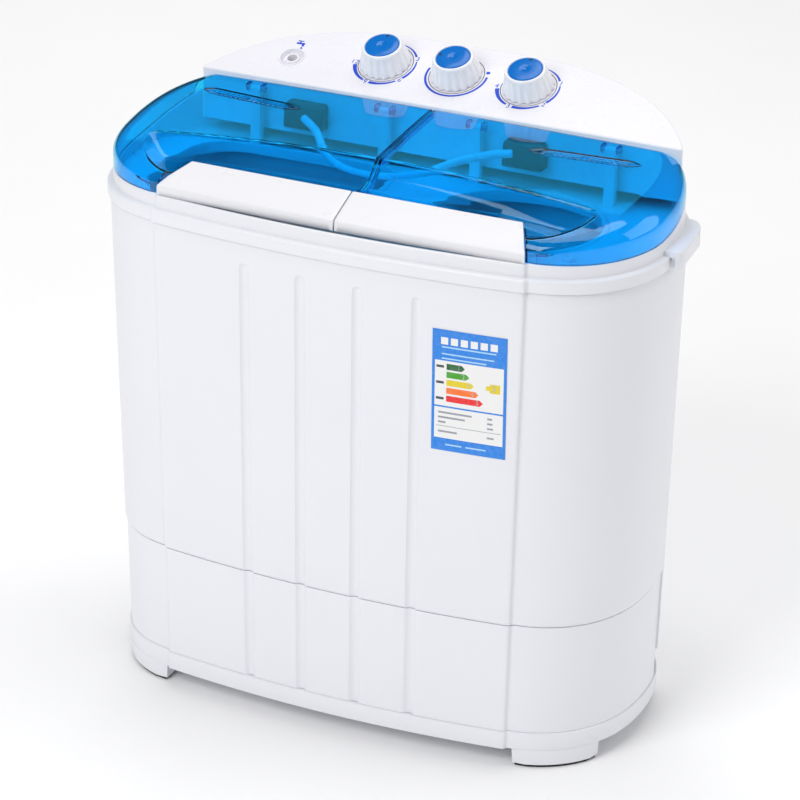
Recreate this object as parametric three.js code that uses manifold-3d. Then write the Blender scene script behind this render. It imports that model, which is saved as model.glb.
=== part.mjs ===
// A small twin tub washer: an agitator tub on the left, a spin basket on the right, two hinged clear lids
// and a sloping control panel with three knobs. Millimetres, +Z up, the front faces -Y.
// The origin is on the floor under the middle of the machine.
import * as THREE from "three";
import { mergeVertices } from "three/addons/utils/BufferGeometryUtils.js";
import Module from "manifold-3d";

const wasm = await Module();
wasm.setup();

// ---- Driving dimensions ----
const RIM_HALF_WIDTH = 306; // widest half-width of the rim under the lids
const REAR_Y = 172.5; // back of the rim
const FRONT_CORNER = { x: 206, y: -158.5 }; // where the bowed front meets a side
const FRONT_BOW = 14; // how far the front swells between its corners
const SIDE_ARC = { x: 180, depth: 131 }; // front side curve: centre and depth
const REAR_ARC_X = 50; // rear curve's centre
const WIDEST_Y = -25; // where the plan is widest
const CURVE_POWER = 2.3; // squareness of the side and rear curves
const DRAFT = 0.036; // how much narrower the body is at the waist than at the casing's top
const WALL = 2.6; // moulded wall
const GAP = 0.3; // clearance between touching pieces
const WIDE = 330; // past the widest piece, for cutting tools

// Heights of the body's horizontal lines.
const PAD_TOP = 3;
const TRAY_BOTTOM = 20;
const TRAY_TOP = 40;
const COVER_FOOT = 70;
const WAIST = 160;
const CASING_TOP = 522;
const RIM_STEP = 536;
const DECK = 540;
const RIM_TOP = 550;

// How far each level's wall is set in from the rim's lower tier.
const CASING_INSET = 3;
const SKIRT_INSET = 5;
const UPPER_TIER_INSET = 6;
const HOOD_INSET = 8;

// The control panel's slope, from its front edge to the back.
const PANEL = { frontY: 71.5, frontZ: 607, rearZ: 648 };
const PANEL_TILT = Math.atan((PANEL.rearZ - PANEL.frontZ) / (REAR_Y - PANEL.frontY));
const KNOB_PITCH = 81.5;
const KNOB_UP_SLOPE = 52; // knob centre, measured up the slope from the front edge
const INLET = { x: -184.5, upSlope: 38, radius: 14.5 };

// The lids: hinge axis, seam and top line.
const HINGE = { y: 59, z: 597 };
const LID_REAR_Y = 65;
const LID_REAR_Z = 605.5;
const LID_WALL = 2.5;
const LID_SHOULDER = { radius: 27, height: 578 }; // where a lid's side starts to round inwards
const SEAM = 0.8; // half the gap between the two lids
const HANDLE_END_X = 203;
const HINGE_X = [52, 201];

// The tubs and what turns in them.
const TUB_TOP = DECK - 4 - GAP;
const TUB_FLOOR = 130;
const WASH_AXIS = { x: -136, y: -20 };
const SPIN_AXIS = { x: 137, y: -30 };
const SPIN_TUB_RADIUS = 118;
const BASKET = { radius: 100, bottom: 158, top: 498 };
const PULSATOR_RADIUS = 84;

// The belt drive under the agitator tub.
const WASH_MOTOR = { x: -30, y: 72, radius: 42 };
const BIG_PULLEY_RADIUS = 62;
const SMALL_PULLEY_RADIUS = 17;
const PULLEY = { bottom: 58, top: 70, groove: 7.4, grooveDepth: 7 };
const BELT = { height: 6, thickness: 4.6 };

const DRAIN_AXIS = { x: 0, y: 130 };
const GRIP = { x: 317, front: -34, back: 58, bottom: 523.5, top: 541 };

// ---- Materials ----
function plastic(color, roughness = 0.4) {
  return new THREE.MeshStandardMaterial({ color, roughness, metalness: 0 });
}

function metal(color, roughness = 0.35) {
  return new THREE.MeshStandardMaterial({ color, roughness, metalness: 0.9 });
}

const bodyWhite = plastic(0xeff0f4, 0.35);
const panelWhite = plastic(0xe8e7ee, 0.3);
const handleWhite = plastic(0xe6e6e9, 0.4);
const tubWhite = plastic(0xf3f6f8, 0.3);
const knobWhite = plastic(0xf6f6f7, 0.2);
const capBlue = plastic(0x0a78c4, 0.25);
const darkPlastic = plastic(0x2c2f36, 0.5);
const greyPlastic = plastic(0x9aa0a8, 0.5);
const hoseClear = plastic(0xcfe2f2, 0.25);
const rubber = plastic(0x1d1e20, 0.85);
const steel = metal(0xb9bcc0);
const castGrey = metal(0x85898e, 0.5);
const labelBlue = plastic(0x1c86dc, 0.5);
const lidBlue = new THREE.MeshStandardMaterial({
  color: 0x0a5fd0,
  roughness: 0.08,
  metalness: 0,
  transparent: true,
  opacity: 0.6,
});

// ---- Solids from three.js geometries ----
// A closed solid from a geometry, with its faces turned outwards if its profile ran the other way.
function solid(geometry) {
  const bare = geometry.index ? geometry.toNonIndexed() : geometry.clone();
  bare.deleteAttribute("normal");
  bare.deleteAttribute("uv");
  const merged = mergeVertices(bare, 1e-3);
  const vertProperties = merged.attributes.position.array;
  const triVerts = new Uint32Array(merged.index.array);
  const made = new wasm.Manifold(new wasm.Mesh({ numProp: 3, vertProperties, triVerts }));
  if (made.volume() >= 0) return made;
  for (let i = 0; i < triVerts.length; i += 3) {
    [triVerts[i + 1], triVerts[i + 2]] = [triVerts[i + 2], triVerts[i + 1]];
  }
  return new wasm.Manifold(new wasm.Mesh({ numProp: 3, vertProperties, triVerts }));
}

function geometryOf(manifold) {
  const mesh = manifold.getMesh();
  return new THREE.BufferGeometry()
    .setAttribute("position", new THREE.BufferAttribute(mesh.vertProperties, 3))
    .setIndex(new THREE.BufferAttribute(mesh.triVerts, 1));
}

// Moves each point of a geometry to where the rule says.
function reshape(geometry, rule) {
  const p = geometry.attributes.position;
  for (let i = 0; i < p.count; i++) p.setXYZ(i, ...rule(p.getX(i), p.getY(i), p.getZ(i)));
  return geometry;
}

function box(low, high) {
  const size = high.map((v, i) => v - low[i]);
  const middle = high.map((v, i) => (v + low[i]) / 2);
  return solid(new THREE.BoxGeometry(...size).translate(...middle));
}

function shapeOf(points) {
  return new THREE.Shape(points.map(([a, b]) => new THREE.Vector2(a, b)));
}

// A prism standing on an outline of [x, y] points, or on a Shape.
function prism(outline, bottom, top, rule = null, steps = 1) {
  const shape = outline instanceof THREE.Shape ? outline : shapeOf(outline);
  const options = { depth: top - bottom, bevelEnabled: false, steps, curveSegments: 6 };
  const geometry = new THREE.ExtrudeGeometry(shape, options).translate(0, 0, bottom);
  return solid(rule ? reshape(geometry, rule) : geometry);
}

// A bar along X with a side profile of [y, z] points.
function barAlongX(profile, x0, x1, rule = null, steps = 1) {
  const shape = shapeOf(profile);
  const options = { depth: x1 - x0, bevelEnabled: false, steps };
  const geometry = new THREE.ExtrudeGeometry(shape, options);
  reshape(geometry, (y, z, x) => [x + x0, y, z]);
  return solid(rule ? reshape(geometry, rule) : geometry);
}

// A turned solid from a closed [radius, height] profile, standing along Z at (x, y).
function turned(profile, { x = 0, y = 0 } = {}, segments = 24) {
  const points = [...profile, profile[0]].map(([r, z]) => new THREE.Vector2(r, z));
  return solid(new THREE.LatheGeometry(points, segments).rotateX(Math.PI / 2).translate(x, y, 0));
}

function cylinder(radius, bottom, top, at, segments = 20) {
  const geometry = new THREE.CylinderGeometry(radius, radius, top - bottom, segments);
  return solid(geometry.rotateX(Math.PI / 2).translate(at.x, at.y, (top + bottom) / 2));
}

function ring(outer, inner, bottom, top, at, segments = 24) {
  return turned([[inner, bottom], [outer, bottom], [outer, top], [inner, top]], at, segments);
}

function pinAlongX(radius, x0, x1, y, z, segments = 12) {
  const geometry = new THREE.CylinderGeometry(radius, radius, x1 - x0, segments);
  return solid(geometry.rotateZ(Math.PI / 2).translate((x0 + x1) / 2, y, z));
}

// A round tube or rod of one radius along a smooth path through the points.
function rodAlong(points, radius, steps, sides = 10) {
  const path = new THREE.CatmullRomCurve3(points.map((p) => new THREE.Vector3(...p)));
  const section = new THREE.Shape();
  section.absarc(0, 0, radius, 0, 2 * Math.PI);
  const options = { steps, extrudePath: path, curveSegments: sides / 2, bevelEnabled: false };
  return solid(new THREE.ExtrudeGeometry(section, options));
}

function union(...solids) {
  return solids.reduce((a, b) => a.add(b));
}

function cut(body, ...tools) {
  return tools.reduce((a, b) => a.subtract(b), body);
}

// ---- The machine's plan ----
// A quarter of a superellipse from its side point round to its far point.
function quarterCurve(centreX, halfWidth, depth, from, to, steps) {
  const points = [];
  for (let i = 0; i <= steps; i++) {
    const t = from + ((to - from) * i) / steps;
    const x = centreX + (halfWidth - centreX) * Math.max(Math.cos(t), 0) ** (2 / CURVE_POWER);
    points.push([x, WIDEST_Y + depth * Math.max(Math.sin(t), 0) ** (2 / CURVE_POWER)]);
  }
  return points;
}

// The machine's outline at the rim, set in by so much: bowed front, stepped corners, round sides and back.
function planOutline(inset = 0) {
  const corner = { x: FRONT_CORNER.x - inset / 2, y: FRONT_CORNER.y + inset };
  const halfWidth = RIM_HALF_WIDTH - inset;
  const bow = [0, 0.25, 0.5, 0.75, 1].map((s) => [corner.x * s, corner.y - FRONT_BOW * (1 - s * s)]);
  const stepX = corner.x + 2;
  const reach = (stepX - SIDE_ARC.x) / (halfWidth - SIDE_ARC.x);
  const start = Math.acos(reach ** (CURVE_POWER / 2));
  const frontSide = quarterCurve(SIDE_ARC.x, halfWidth, -(SIDE_ARC.depth - inset), start, 0, 7);
  const rearSide = quarterCurve(REAR_ARC_X, halfWidth, REAR_Y - inset - WIDEST_Y, 0, Math.PI / 2, 9);
  const half = [...bow, ...frontSide, ...rearSide.slice(1)];
  const mirrored = half.slice(1).reverse().map(([x, y]) => [-x, y]);
  return [...half, ...mirrored];
}

// The body draws in towards the floor.
function draft(x, y, z) {
  const t = THREE.MathUtils.clamp((CASING_TOP - z) / (CASING_TOP - WAIST), 0, 1.4);
  const narrowing = DRAFT * t;
  return [x * (1 - narrowing), y > 0 ? y * (1 - 0.3 * narrowing) : y, z];
}

function bodySlab(inset, bottom, top, steps = 1) {
  return prism(planOutline(inset), bottom, top, draft, steps);
}

// The four round flutes down the front. Each is cut by a round bar that stands in front of the wall.
const FLUTE = { pitch: 64, radius: 7.5, depth: 2.7, top: 501 };

function fluteBars(extra, inset) {
  const bars = [-1.5, -0.5, 0.5, 1.5].map((k) => {
    const x = k * FLUTE.pitch;
    const wallY = FRONT_CORNER.y + inset - FRONT_BOW * (1 - (x / FRONT_CORNER.x) ** 2);
    const at = { x, y: wallY - FLUTE.radius + FLUTE.depth };
    return cylinder(FLUTE.radius + extra, TRAY_TOP - 5, FLUTE.top + extra, at, 14);
  });
  return union(...bars);
}

// ---- Outer shells ----
function upperCasing() {
  const outer = cut(bodySlab(CASING_INSET, WAIST + GAP, CASING_TOP, 1), fluteBars(0, CASING_INSET));
  const hollow = bodySlab(CASING_INSET + WALL, WAIST - 5, CASING_TOP + 5, 1);
  const inner = cut(hollow, fluteBars(WALL, CASING_INSET));
  return cut(outer, inner);
}

function lowerSkirt() {
  const outer = cut(bodySlab(SKIRT_INSET, TRAY_TOP + GAP, WAIST), fluteBars(0, SKIRT_INSET));
  const inner = cut(bodySlab(SKIRT_INSET + WALL, TRAY_TOP - 5, WAIST + 5), fluteBars(WALL, SKIRT_INSET));
  const coverSpace = box([-WIDE, 25, COVER_FOOT], [WIDE, 200, WAIST + 1]);
  return cut(outer, inner, coverSpace);
}

function rearCover() {
  const shell = cut(
    bodySlab(CASING_INSET, COVER_FOOT + GAP, WAIST - GAP),
    bodySlab(CASING_INSET + WALL, COVER_FOOT - 5, WAIST + 5),
    box([-WIDE, -200, 0], [WIDE, 25 + GAP, 200]),
  );
  const vents = [...Array(9)].map((_, i) => box([-118 + 14 * i, 150, 90], [-112 + 14 * i, 180, 135]));
  return cut(shell, ...vents, drainHole(DRAIN_SPIGOT.radius + 1), glandHole(GLAND.radius + GAP));
}

const FOOT_BOXES = {
  front_left: [[-272, -150], [-200, -88]],
  front_right: [[200, -150], [272, -88]],
  rear_left: [[-272, 70], [-178, 135]],
  rear_right: [[178, 70], [272, 135]],
};

function footBlock(name, inset, bottom, top) {
  const [[x0, y0], [x1, y1]] = FOOT_BOXES[name];
  const margin = inset - CASING_INSET;
  return bodySlab(inset, bottom, top).intersect(
    box([x0 + margin, y0 + margin, bottom - 1], [x1 - margin, y1 - margin, top + 1]),
  );
}

function baseTray() {
  const hollow = bodySlab(SKIRT_INSET + WALL, TRAY_BOTTOM + 4, TRAY_TOP + 5);
  const tray = cut(bodySlab(CASING_INSET, TRAY_BOTTOM, TRAY_TOP), hollow);
  const legs = Object.keys(FOOT_BOXES).map((name) =>
    footBlock(name, CASING_INSET, PAD_TOP + GAP, TRAY_BOTTOM + 1));
  return union(tray, ...legs);
}

function roundedRectangle(x0, y0, x1, y1, radii) {
  const [frontLeft, frontRight, rearRight, rearLeft] = radii;
  const shape = new THREE.Shape();
  shape.moveTo(x0 + frontLeft, y0);
  shape.lineTo(x1 - frontRight, y0);
  shape.absarc(x1 - frontRight, y0 + frontRight, frontRight, -Math.PI / 2, 0);
  shape.absarc(x1 - rearRight, y1 - rearRight, rearRight, 0, Math.PI / 2);
  shape.absarc(x0 + rearLeft, y1 - rearLeft, rearLeft, Math.PI / 2, Math.PI);
  shape.absarc(x0 + frontLeft, y0 + frontLeft, frontLeft, Math.PI, 1.5 * Math.PI);
  return shape;
}

// A hinge post stands on the deck under each lid and holds a pin through its round top.
function hingePost(x) {
  const top = pinAlongX(3.6, x - 6, x + 6, HINGE.y, HINGE.z, 14);
  const stem = box([x - 6, HINGE.y - 3.2, DECK - 1], [x + 6, HINGE.y + 3.2, HINGE.z]);
  return cut(union(stem, top), pinAlongX(2.2, x - 9, x + 9, HINGE.y, HINGE.z));
}

function sideGrip(side) {
  const inner = RIM_HALF_WIDTH - 12;
  const plan = (margin, reach, round) =>
    roundedRectangle(inner + reach, GRIP.front + margin, GRIP.x - margin, GRIP.back - margin,
      [1, 9, round, 1]);
  const bar = prism(plan(0, 0, 20), GRIP.bottom, GRIP.top);
  const fingerSpace = prism(plan(3, 9, 9), GRIP.bottom - 5, GRIP.top - 3.5);
  const grip = cut(bar, fingerSpace.subtract(bodySlab(0, GRIP.bottom - 6, GRIP.top)));
  return side > 0 ? grip : grip.mirror([1, 0, 0]);
}

// The deck that joins casing, tubs and panel: a two-tier rim, the tubs' mouths and the two side grips.
function topFrame() {
  const lowerTier = bodySlab(0, CASING_TOP + GAP, RIM_STEP);
  const upperTier = bodySlab(UPPER_TIER_INSET, RIM_STEP - 1, RIM_TOP);
  const underside = bodySlab(UPPER_TIER_INSET + WALL, CASING_TOP - 5, DECK - 4);
  const lidWell = bodySlab(UPPER_TIER_INSET + 4, DECK, RIM_TOP + 45).intersect(
    box([-WIDE, -200, DECK - 1], [WIDE, PANEL.frontY - 1, RIM_TOP + 50]),
  );
  const rearUnderside = bodySlab(UPPER_TIER_INSET + WALL, CASING_TOP - 5, RIM_TOP - 4).intersect(
    box([-WIDE, PANEL.frontY + 3, CASING_TOP - 6], [WIDE, 200, RIM_TOP]),
  );
  const washMouth = prism(roundedRectangle(-250, -132, -22, 48, [62, 40, 34, 50]), DECK - 10, DECK + 1);
  const spinMouth = cylinder(86, DECK - 10, DECK + 1, SPIN_AXIS, 32);
  const rodHole = cylinder(6, DECK - 10, RIM_TOP + 5, DRAIN_AXIS, 12);
  const wallBand = cut(
    bodySlab(UPPER_TIER_INSET, RIM_TOP - 1, 600), bodySlab(UPPER_TIER_INSET + 4, RIM_TOP, 601));
  const shoulders = wallBand.intersect(
    barAlongX([[-61, RIM_TOP - 1], [PANEL.frontY - GAP, RIM_TOP - 1], ...footLine(0).reverse()], -WIDE, WIDE),
  );
  const tiers = union(lowerTier, upperTier, shoulders, sideGrip(1), sideGrip(-1));
  const shell = cut(tiers, underside, lidWell, rearUnderside);
  const posts = HINGE_X.flatMap((x) => [hingePost(x), hingePost(-x)]);
  return union(cut(shell, washMouth, spinMouth, rodHole), ...posts);
}

// ---- Control panel and knobs ----
function panelProfile(lower, frontIn, floor) {
  const slopeDrop = lower / Math.cos(PANEL_TILT);
  const rise = (y) => PANEL.frontZ + (y - PANEL.frontY) * Math.tan(PANEL_TILT) - slopeDrop;
  const front = PANEL.frontY + frontIn;
  return [[front, floor], [REAR_Y + 5, floor], [REAR_Y + 5, rise(REAR_Y + 5)], [front, rise(front)]];
}

// A point on the sloping panel face, and the group that stands things square to it.
function onPanel(x, upSlope) {
  const y = PANEL.frontY + upSlope * Math.cos(PANEL_TILT);
  return new THREE.Vector3(x, y, PANEL.frontZ + upSlope * Math.sin(PANEL_TILT));
}

function squareToPanel(manifold, x, upSlope) {
  const p = onPanel(x, upSlope);
  return manifold.rotate([THREE.MathUtils.radToDeg(PANEL_TILT), 0, 0]).translate([p.x, p.y, p.z]);
}

const KNOB_X = { wash_timer: -KNOB_PITCH, drain: 0, spin_timer: KNOB_PITCH };

function controlPanel() {
  const slope = barAlongX(panelProfile(0, 0, 540), -WIDE, WIDE);
  const underSlope = barAlongX(panelProfile(3, WALL, 530), -WIDE, WIDE);
  const outer = bodySlab(HOOD_INSET, RIM_TOP + GAP, 670).intersect(slope);
  const inner = bodySlab(HOOD_INSET + WALL, RIM_TOP - 5, 670).intersect(underSlope);
  const shaftHoles = Object.values(KNOB_X).map((x) =>
    squareToPanel(cylinder(4.6, -12, 6, ORIGIN, 14), x, KNOB_UP_SLOPE));
  const inletHole = squareToPanel(cylinder(INLET.radius + GAP, -12, 6, ORIGIN, 20), INLET.x, INLET.upSlope);
  return cut(outer, inner, ...shaftHoles, inletHole);
}

const ORIGIN = { x: 0, y: 0 };
const KNOB = { foot: 0.6, height: 25, footRadius: 27.5, topRadius: 20, stem: 3.8, capHeight: 1.8 };

function knobBody() {
  const k = KNOB;
  return turned(
    [[0, -24], [k.stem, -24], [k.stem, k.foot + 6], [k.footRadius - 3, k.foot + 6],
      [k.footRadius - 3, k.foot], [k.footRadius, k.foot], [k.footRadius - 1.5, 8],
      [k.topRadius + 2.4, 19], [k.topRadius, k.height],
      [k.topRadius - 1.4, k.height], [k.topRadius - 1.4, k.height - 1.5], [0, k.height - 1.5]],
    ORIGIN, 20);
}

function knobCap() {
  const r = KNOB.topRadius - 1.4 - GAP;
  return turned([[0, KNOB.height - 1.5 + GAP], [r, KNOB.height - 1.5 + GAP], [r, KNOB.height],
    [r - 1, KNOB.height + 0.6], [0, KNOB.height + 0.9]], ORIGIN, 20);
}

// The clockwork or cam box under a knob, with a bore for the knob's stem.
function switchBox(width, depth, height) {
  const top = -6;
  const body = box([-width / 2, -depth / 2, top - height], [width / 2, depth / 2, top]);
  return cut(body, cylinder(KNOB.stem + 0.6, top - 20, top + 1, ORIGIN, 14));
}

function inletSocket() {
  return turned([[5.4, -26], [7.6, -26], [7.6, -7], [INLET.radius, -7], [INLET.radius, -GAP],
    [INLET.radius - 2, -GAP], [INLET.radius - 3.5, -5], [7.6, -5], [7.6, -1.5], [5.4, -1.5]], ORIGIN, 20);
}

// ---- Lids ----
// The rim's upper edge and the lids' lower edge rise together towards the hinges.
function footLine(lift) {
  return [-60, -35, -10, 15, 40, PANEL.frontY - GAP].map((y) => [y, RIM_TOP + lift + 0.0018 * (y + 60) ** 2]);
}

// The body's plan with its sides rounding inwards towards a lid's top.
function domedSlab(inset, bottom) {
  const radius = LID_SHOULDER.radius + UPPER_TIER_INSET - inset;
  const round = [0, 20, 40, 60, 80].map((degrees) => {
    const a = THREE.MathUtils.degToRad(degrees);
    return [LID_SHOULDER.height + radius * Math.sin(a), radius * (1 - Math.cos(a))];
  });
  const levels = [[bottom, 0], ...round, [640, round.at(-1)[1]]];
  const rule = (x, y, k) => {
    const [z, pull] = levels[Math.round(k)];
    return [x * (1 - pull / RIM_HALF_WIDTH), y < 0 ? y * (1 + pull / FRONT_CORNER.y) : y, z];
  };
  return prism(planOutline(inset), 0, levels.length - 1, rule, levels.length - 1);
}

// The lid's side profile: low at the front, rising to its rear edge. lower sinks the top, and floor
// is the open bottom.
function lidProfile(lower, floor, front) {
  const top = [[front, 562], [-140, 571], [-112, 579.5], [-60, 592], [LID_REAR_Y, LID_REAR_Z]];
  const upper = top.reverse().map(([y, z]) => [y, z - lower]);
  return [[LID_REAR_Y + (lower ? 1 : 0), floor], ...upper, [front, floor]];
}

// The handles bow forwards in the middle, stand a little higher there and end on a slant.
const HANDLE_FRONT_Y = -151;
const HANDLE_DEPTH = 39;

function bowAndCrown(x, y, z) {
  const middle = 1 - (x / FRONT_CORNER.x) ** 2;
  const bow = (y < HANDLE_FRONT_Y + 6 ? 8 : 5) * middle;
  const crown = z > RIM_TOP + 5 ? 2 * middle : 0;
  const slant = 0.1 * THREE.MathUtils.clamp((y - HANDLE_FRONT_Y) / HANDLE_DEPTH, 0, 1);
  return [x * (1 - slant), y - bow, z + crown];
}

const HANDLE_PROFILE = [[-151, RIM_TOP + GAP], [-151, 560], [-139, 567], [-112, 577], [-112, RIM_TOP + GAP]];
const HANDLE_HOLLOW = [[-148, RIM_TOP - 2], [-148, 557.5], [-138, 563.5], [-115, 572.5], [-115, RIM_TOP - 2]];
const HANDLE_SPACE = [
  [-190, RIM_TOP - 6], [-190, 600], [HANDLE_FRONT_Y - GAP, 600],
  [-111.6, 600], [-111.6, RIM_TOP - 6], [HANDLE_FRONT_Y - GAP, RIM_TOP - 6],
];

function rightHandle() {
  const bar = barAlongX(HANDLE_PROFILE, SEAM, HANDLE_END_X, bowAndCrown, 4);
  const hollow = barAlongX(HANDLE_HOLLOW, SEAM + 2.5, HANDLE_END_X - 3, bowAndCrown, 4);
  return cut(bar, hollow);
}

const SCOOP = [[-140, 640], [-140, 574], [-93, 574], [-76, 577.5], [-60, 591.5], [-56, 640]];

function rightLid() {
  const outline = domedSlab(UPPER_TIER_INSET, RIM_TOP + GAP);
  const inside = domedSlab(UPPER_TIER_INSET + LID_WALL, RIM_TOP - 5);
  const outer = barAlongX(lidProfile(0, RIM_TOP + GAP, -180), SEAM, WIDE).intersect(outline);
  const inner = barAlongX(lidProfile(LID_WALL, RIM_TOP - 5, -190), SEAM + LID_WALL, WIDE).intersect(inside);
  const seamSpace = barAlongX(lidProfile(9, RIM_TOP - 5, -190), SEAM - 1, SEAM + LID_WALL + 1);
  const scoop = barAlongX(SCOOP, -2, 226);
  const underScoop = barAlongX(SCOOP.map(([y, z]) => [y < -100 ? y - 3 : y + 3, z - 2.6]), -4, 228.6);
  const handleSpace = barAlongX(HANDLE_SPACE, -2, HANDLE_END_X + GAP, bowAndCrown, 4);
  const hollow = union(inner, seamSpace).subtract(underScoop);
  const underFoot = barAlongX(
    [[-60, RIM_TOP - 9], [PANEL.frontY - GAP, RIM_TOP - 9], ...footLine(GAP).reverse()], -3, WIDE);
  const shell = cut(outer, scoop, hollow, handleSpace, underFoot);
  return cut(union(shell, ...HINGE_X.map((x) => hingeLugs(x))), ...HINGE_X.map(pinBore));
}

// Two ears hang from the lid, one on each side of a post.
function hingeLugs(x) {
  const ear = (x0) => box([x0, HINGE.y - 4, HINGE.z - 4], [x0 + 4, HINGE.y + 4, HINGE.z + 6.4]);
  return union(ear(x - 10.4), ear(x + 6.4));
}

function pinBore(x) {
  return pinAlongX(2.1, x - 13, x + 13, HINGE.y, HINGE.z);
}

function hingePin(x) {
  return pinAlongX(1.8, x - 10.2, x + 10.2, HINGE.y, HINGE.z, 10);
}

function mirrored(manifold) {
  return manifold.mirror([1, 0, 0]);
}

// ---- Agitator side ----
function washTub() {
  const c = WASH_AXIS;
  const shell = (margin) => roundedRectangle(-260 + margin, -146 + margin, -12 - margin, 104 - margin,
    [70, 45, 45, 88].map((r) => r - margin));
  const taper = (x, y, z) => {
    const s = 1 - (0.07 * (TUB_TOP - z)) / (TUB_TOP - TUB_FLOOR);
    return [c.x + (x - c.x) * s, c.y + (y - c.y) * s, z];
  };
  const outer = prism(shell(0), TUB_FLOOR, TUB_TOP, taper);
  const inner = prism(shell(WALL), TUB_FLOOR + 4, TUB_TOP + 5, taper);
  const drainPort = pinAlongX(7, -60, 0, 60, TUB_FLOOR + 14);
  return cut(outer, inner, cylinder(8, TUB_FLOOR - 1, TUB_FLOOR + 5, c, 16), drainPort);
}

function pulsator() {
  const z = TUB_FLOOR + 7;
  const dish = turned([[0, z], [78, z], [PULSATOR_RADIUS, z + 5], [70, z + 9], [30, z + 13],
    [18, z + 22], [0, z + 24]], WASH_AXIS, 28);
  const fins = [...Array(4)].map((_, i) => {
    const fin = barAlongX([[-5, z + 6], [5, z + 6], [2, z + 20], [-2, z + 20]], 10, 70);
    return fin.rotate([0, 0, 90 * i]).translate([WASH_AXIS.x, WASH_AXIS.y, 0]);
  });
  return union(dish, ...fins);
}

// A pulley with a flat-bottomed groove and a bore for its shaft.
function pulley(radius, bore, at, segments) {
  const { bottom, top, groove, grooveDepth } = PULLEY;
  const low = (bottom + top - groove) / 2;
  const root = radius - grooveDepth;
  return turned([[bore, bottom], [radius, bottom], [radius, low], [root, low], [root, low + groove],
    [radius, low + groove], [radius, top], [bore, top]], at, segments);
}

// The belt's outline round both pulleys at some distance outside the groove's root.
function beltOutline(out) {
  const big = BIG_PULLEY_RADIUS - PULLEY.grooveDepth + out;
  const small = SMALL_PULLEY_RADIUS - PULLEY.grooveDepth + out;
  const run = new THREE.Vector2(WASH_MOTOR.x - WASH_AXIS.x, WASH_MOTOR.y - WASH_AXIS.y);
  const heading = run.angle();
  const contact = Math.acos((big - small) / run.length());
  const arc = (centre, radius, from, to, steps) =>
    [...Array(steps + 1)].map((_, i) => {
      const t = from + ((to - from) * i) / steps;
      return [centre.x + radius * Math.cos(t), centre.y + radius * Math.sin(t)];
    });
  return [
    ...arc(WASH_AXIS, big, heading + contact, heading + 2 * Math.PI - contact, 22),
    ...arc(WASH_MOTOR, small, heading - contact, heading + contact, 8),
  ];
}

function driveBelt() {
  const middle = (PULLEY.bottom + PULLEY.top) / 2;
  const low = middle - BELT.height / 2;
  const high = middle + BELT.height / 2;
  return cut(prism(beltOutline(1 + BELT.thickness), low, high), prism(beltOutline(1), low - 1, high + 1));
}

function bearingHousing(at, bore, radius, bottom, top) {
  return turned([[bore, bottom], [radius * 0.6, bottom], [radius * 0.6, top - 8], [radius, top - 8],
    [radius, top], [bore, top]], at, 20);
}

function washMotor() {
  const r = WASH_MOTOR.radius;
  return turned([[5, 80], [16, 80], [16, 84], [r, 84], [r, 120], [18, 125], [5, 125]], WASH_MOTOR, 24);
}

function motorBracket() {
  const { x, y } = WASH_MOTOR;
  const plate = cut(box([x - 50, y - 44, 73], [x + 50, y + 36, 78]), cylinder(20, 70, 80, WASH_MOTOR));
  const legs = [[x - 50, y + 26], [x + 40, y + 26], [x + 40, y - 44]].map(([lx, ly]) =>
    box([lx, ly, TRAY_BOTTOM + 4 + GAP], [lx + 10, ly + 10, 75]),
  );
  return union(plate, ...legs);
}

function motorPulley() {
  return union(
    pulley(SMALL_PULLEY_RADIUS, 3, WASH_MOTOR, 16), cylinder(4.4, PULLEY.bottom, 124, WASH_MOTOR, 14));
}

// ---- Spin side ----
function spinTub() {
  const r = SPIN_TUB_RADIUS;
  return turned([[26, TUB_FLOOR], [r, TUB_FLOOR], [r, TUB_TOP], [r - WALL, TUB_TOP],
    [r - WALL, TUB_FLOOR + 4], [26, TUB_FLOOR + 4]], SPIN_AXIS, 30);
}

function waterSeal() {
  const z = TUB_FLOOR;
  return turned([[6.6, z - 14], [16, z - 14], [22, z - 8], [17, z - 2], [25.6, z + 0.4],
    [25.6, z + 3.6], [14, z + 9], [6.6, z + 9]], SPIN_AXIS, 20);
}

function spinBasket() {
  const { radius, bottom, top } = BASKET;
  const shell = turned([[6.4, bottom], [radius - 6, bottom], [radius, bottom + 6], [radius, top],
    [radius - 1.8, top], [radius - 1.8, bottom + 7], [radius - 8, bottom + 2], [24, bottom + 2],
    [18, bottom + 18], [6.4, bottom + 18]], SPIN_AXIS, 32);
  const holes = [];
  for (const z of [240, 400]) {
    for (let i = 0; i < 8; i++) {
      const turn = 45 * i;
      const drill = pinAlongX(3.5, radius - 8, radius + 8, 0, z, 4);
      holes.push(drill.rotate([0, 0, turn]).translate([SPIN_AXIS.x, SPIN_AXIS.y, 0]));
    }
  }
  return cut(shell, ...holes);
}

function spinMotor() {
  return turned([[5, 34], [52, 34], [52, 80], [24, 88], [24, 92], [6.4, 92], [6.4, 60], [5, 60]],
    SPIN_AXIS, 24);
}

const BRAKE = { pivot: { x: SPIN_AXIS.x + 48, y: SPIN_AXIS.y - 45 }, drumRadius: 32, low: 98, high: 112 };

function brakeDrum() {
  const { drumRadius, low, high } = BRAKE;
  return turned([[6.2, low], [drumRadius, low], [drumRadius, high], [drumRadius - 4, high],
    [drumRadius - 4, low + 4], [14, low + 4], [12, high], [6.2, high]], SPIN_AXIS, 20);
}

function brakeLever() {
  const { pivot, drumRadius, low } = BRAKE;
  const face = SPIN_AXIS.x + drumRadius + 2.6;
  const arm = box([pivot.x - 5, pivot.y - 30, low + 2], [pivot.x + 5, pivot.y + 52, low + 10]);
  const shoe = box([face, SPIN_AXIS.y - 9, low + 1], [pivot.x - 4, SPIN_AXIS.y + 6, low + 11]);
  return cut(union(arm, shoe), cylinder(4.4, low, low + 12, pivot, 12));
}

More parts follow.
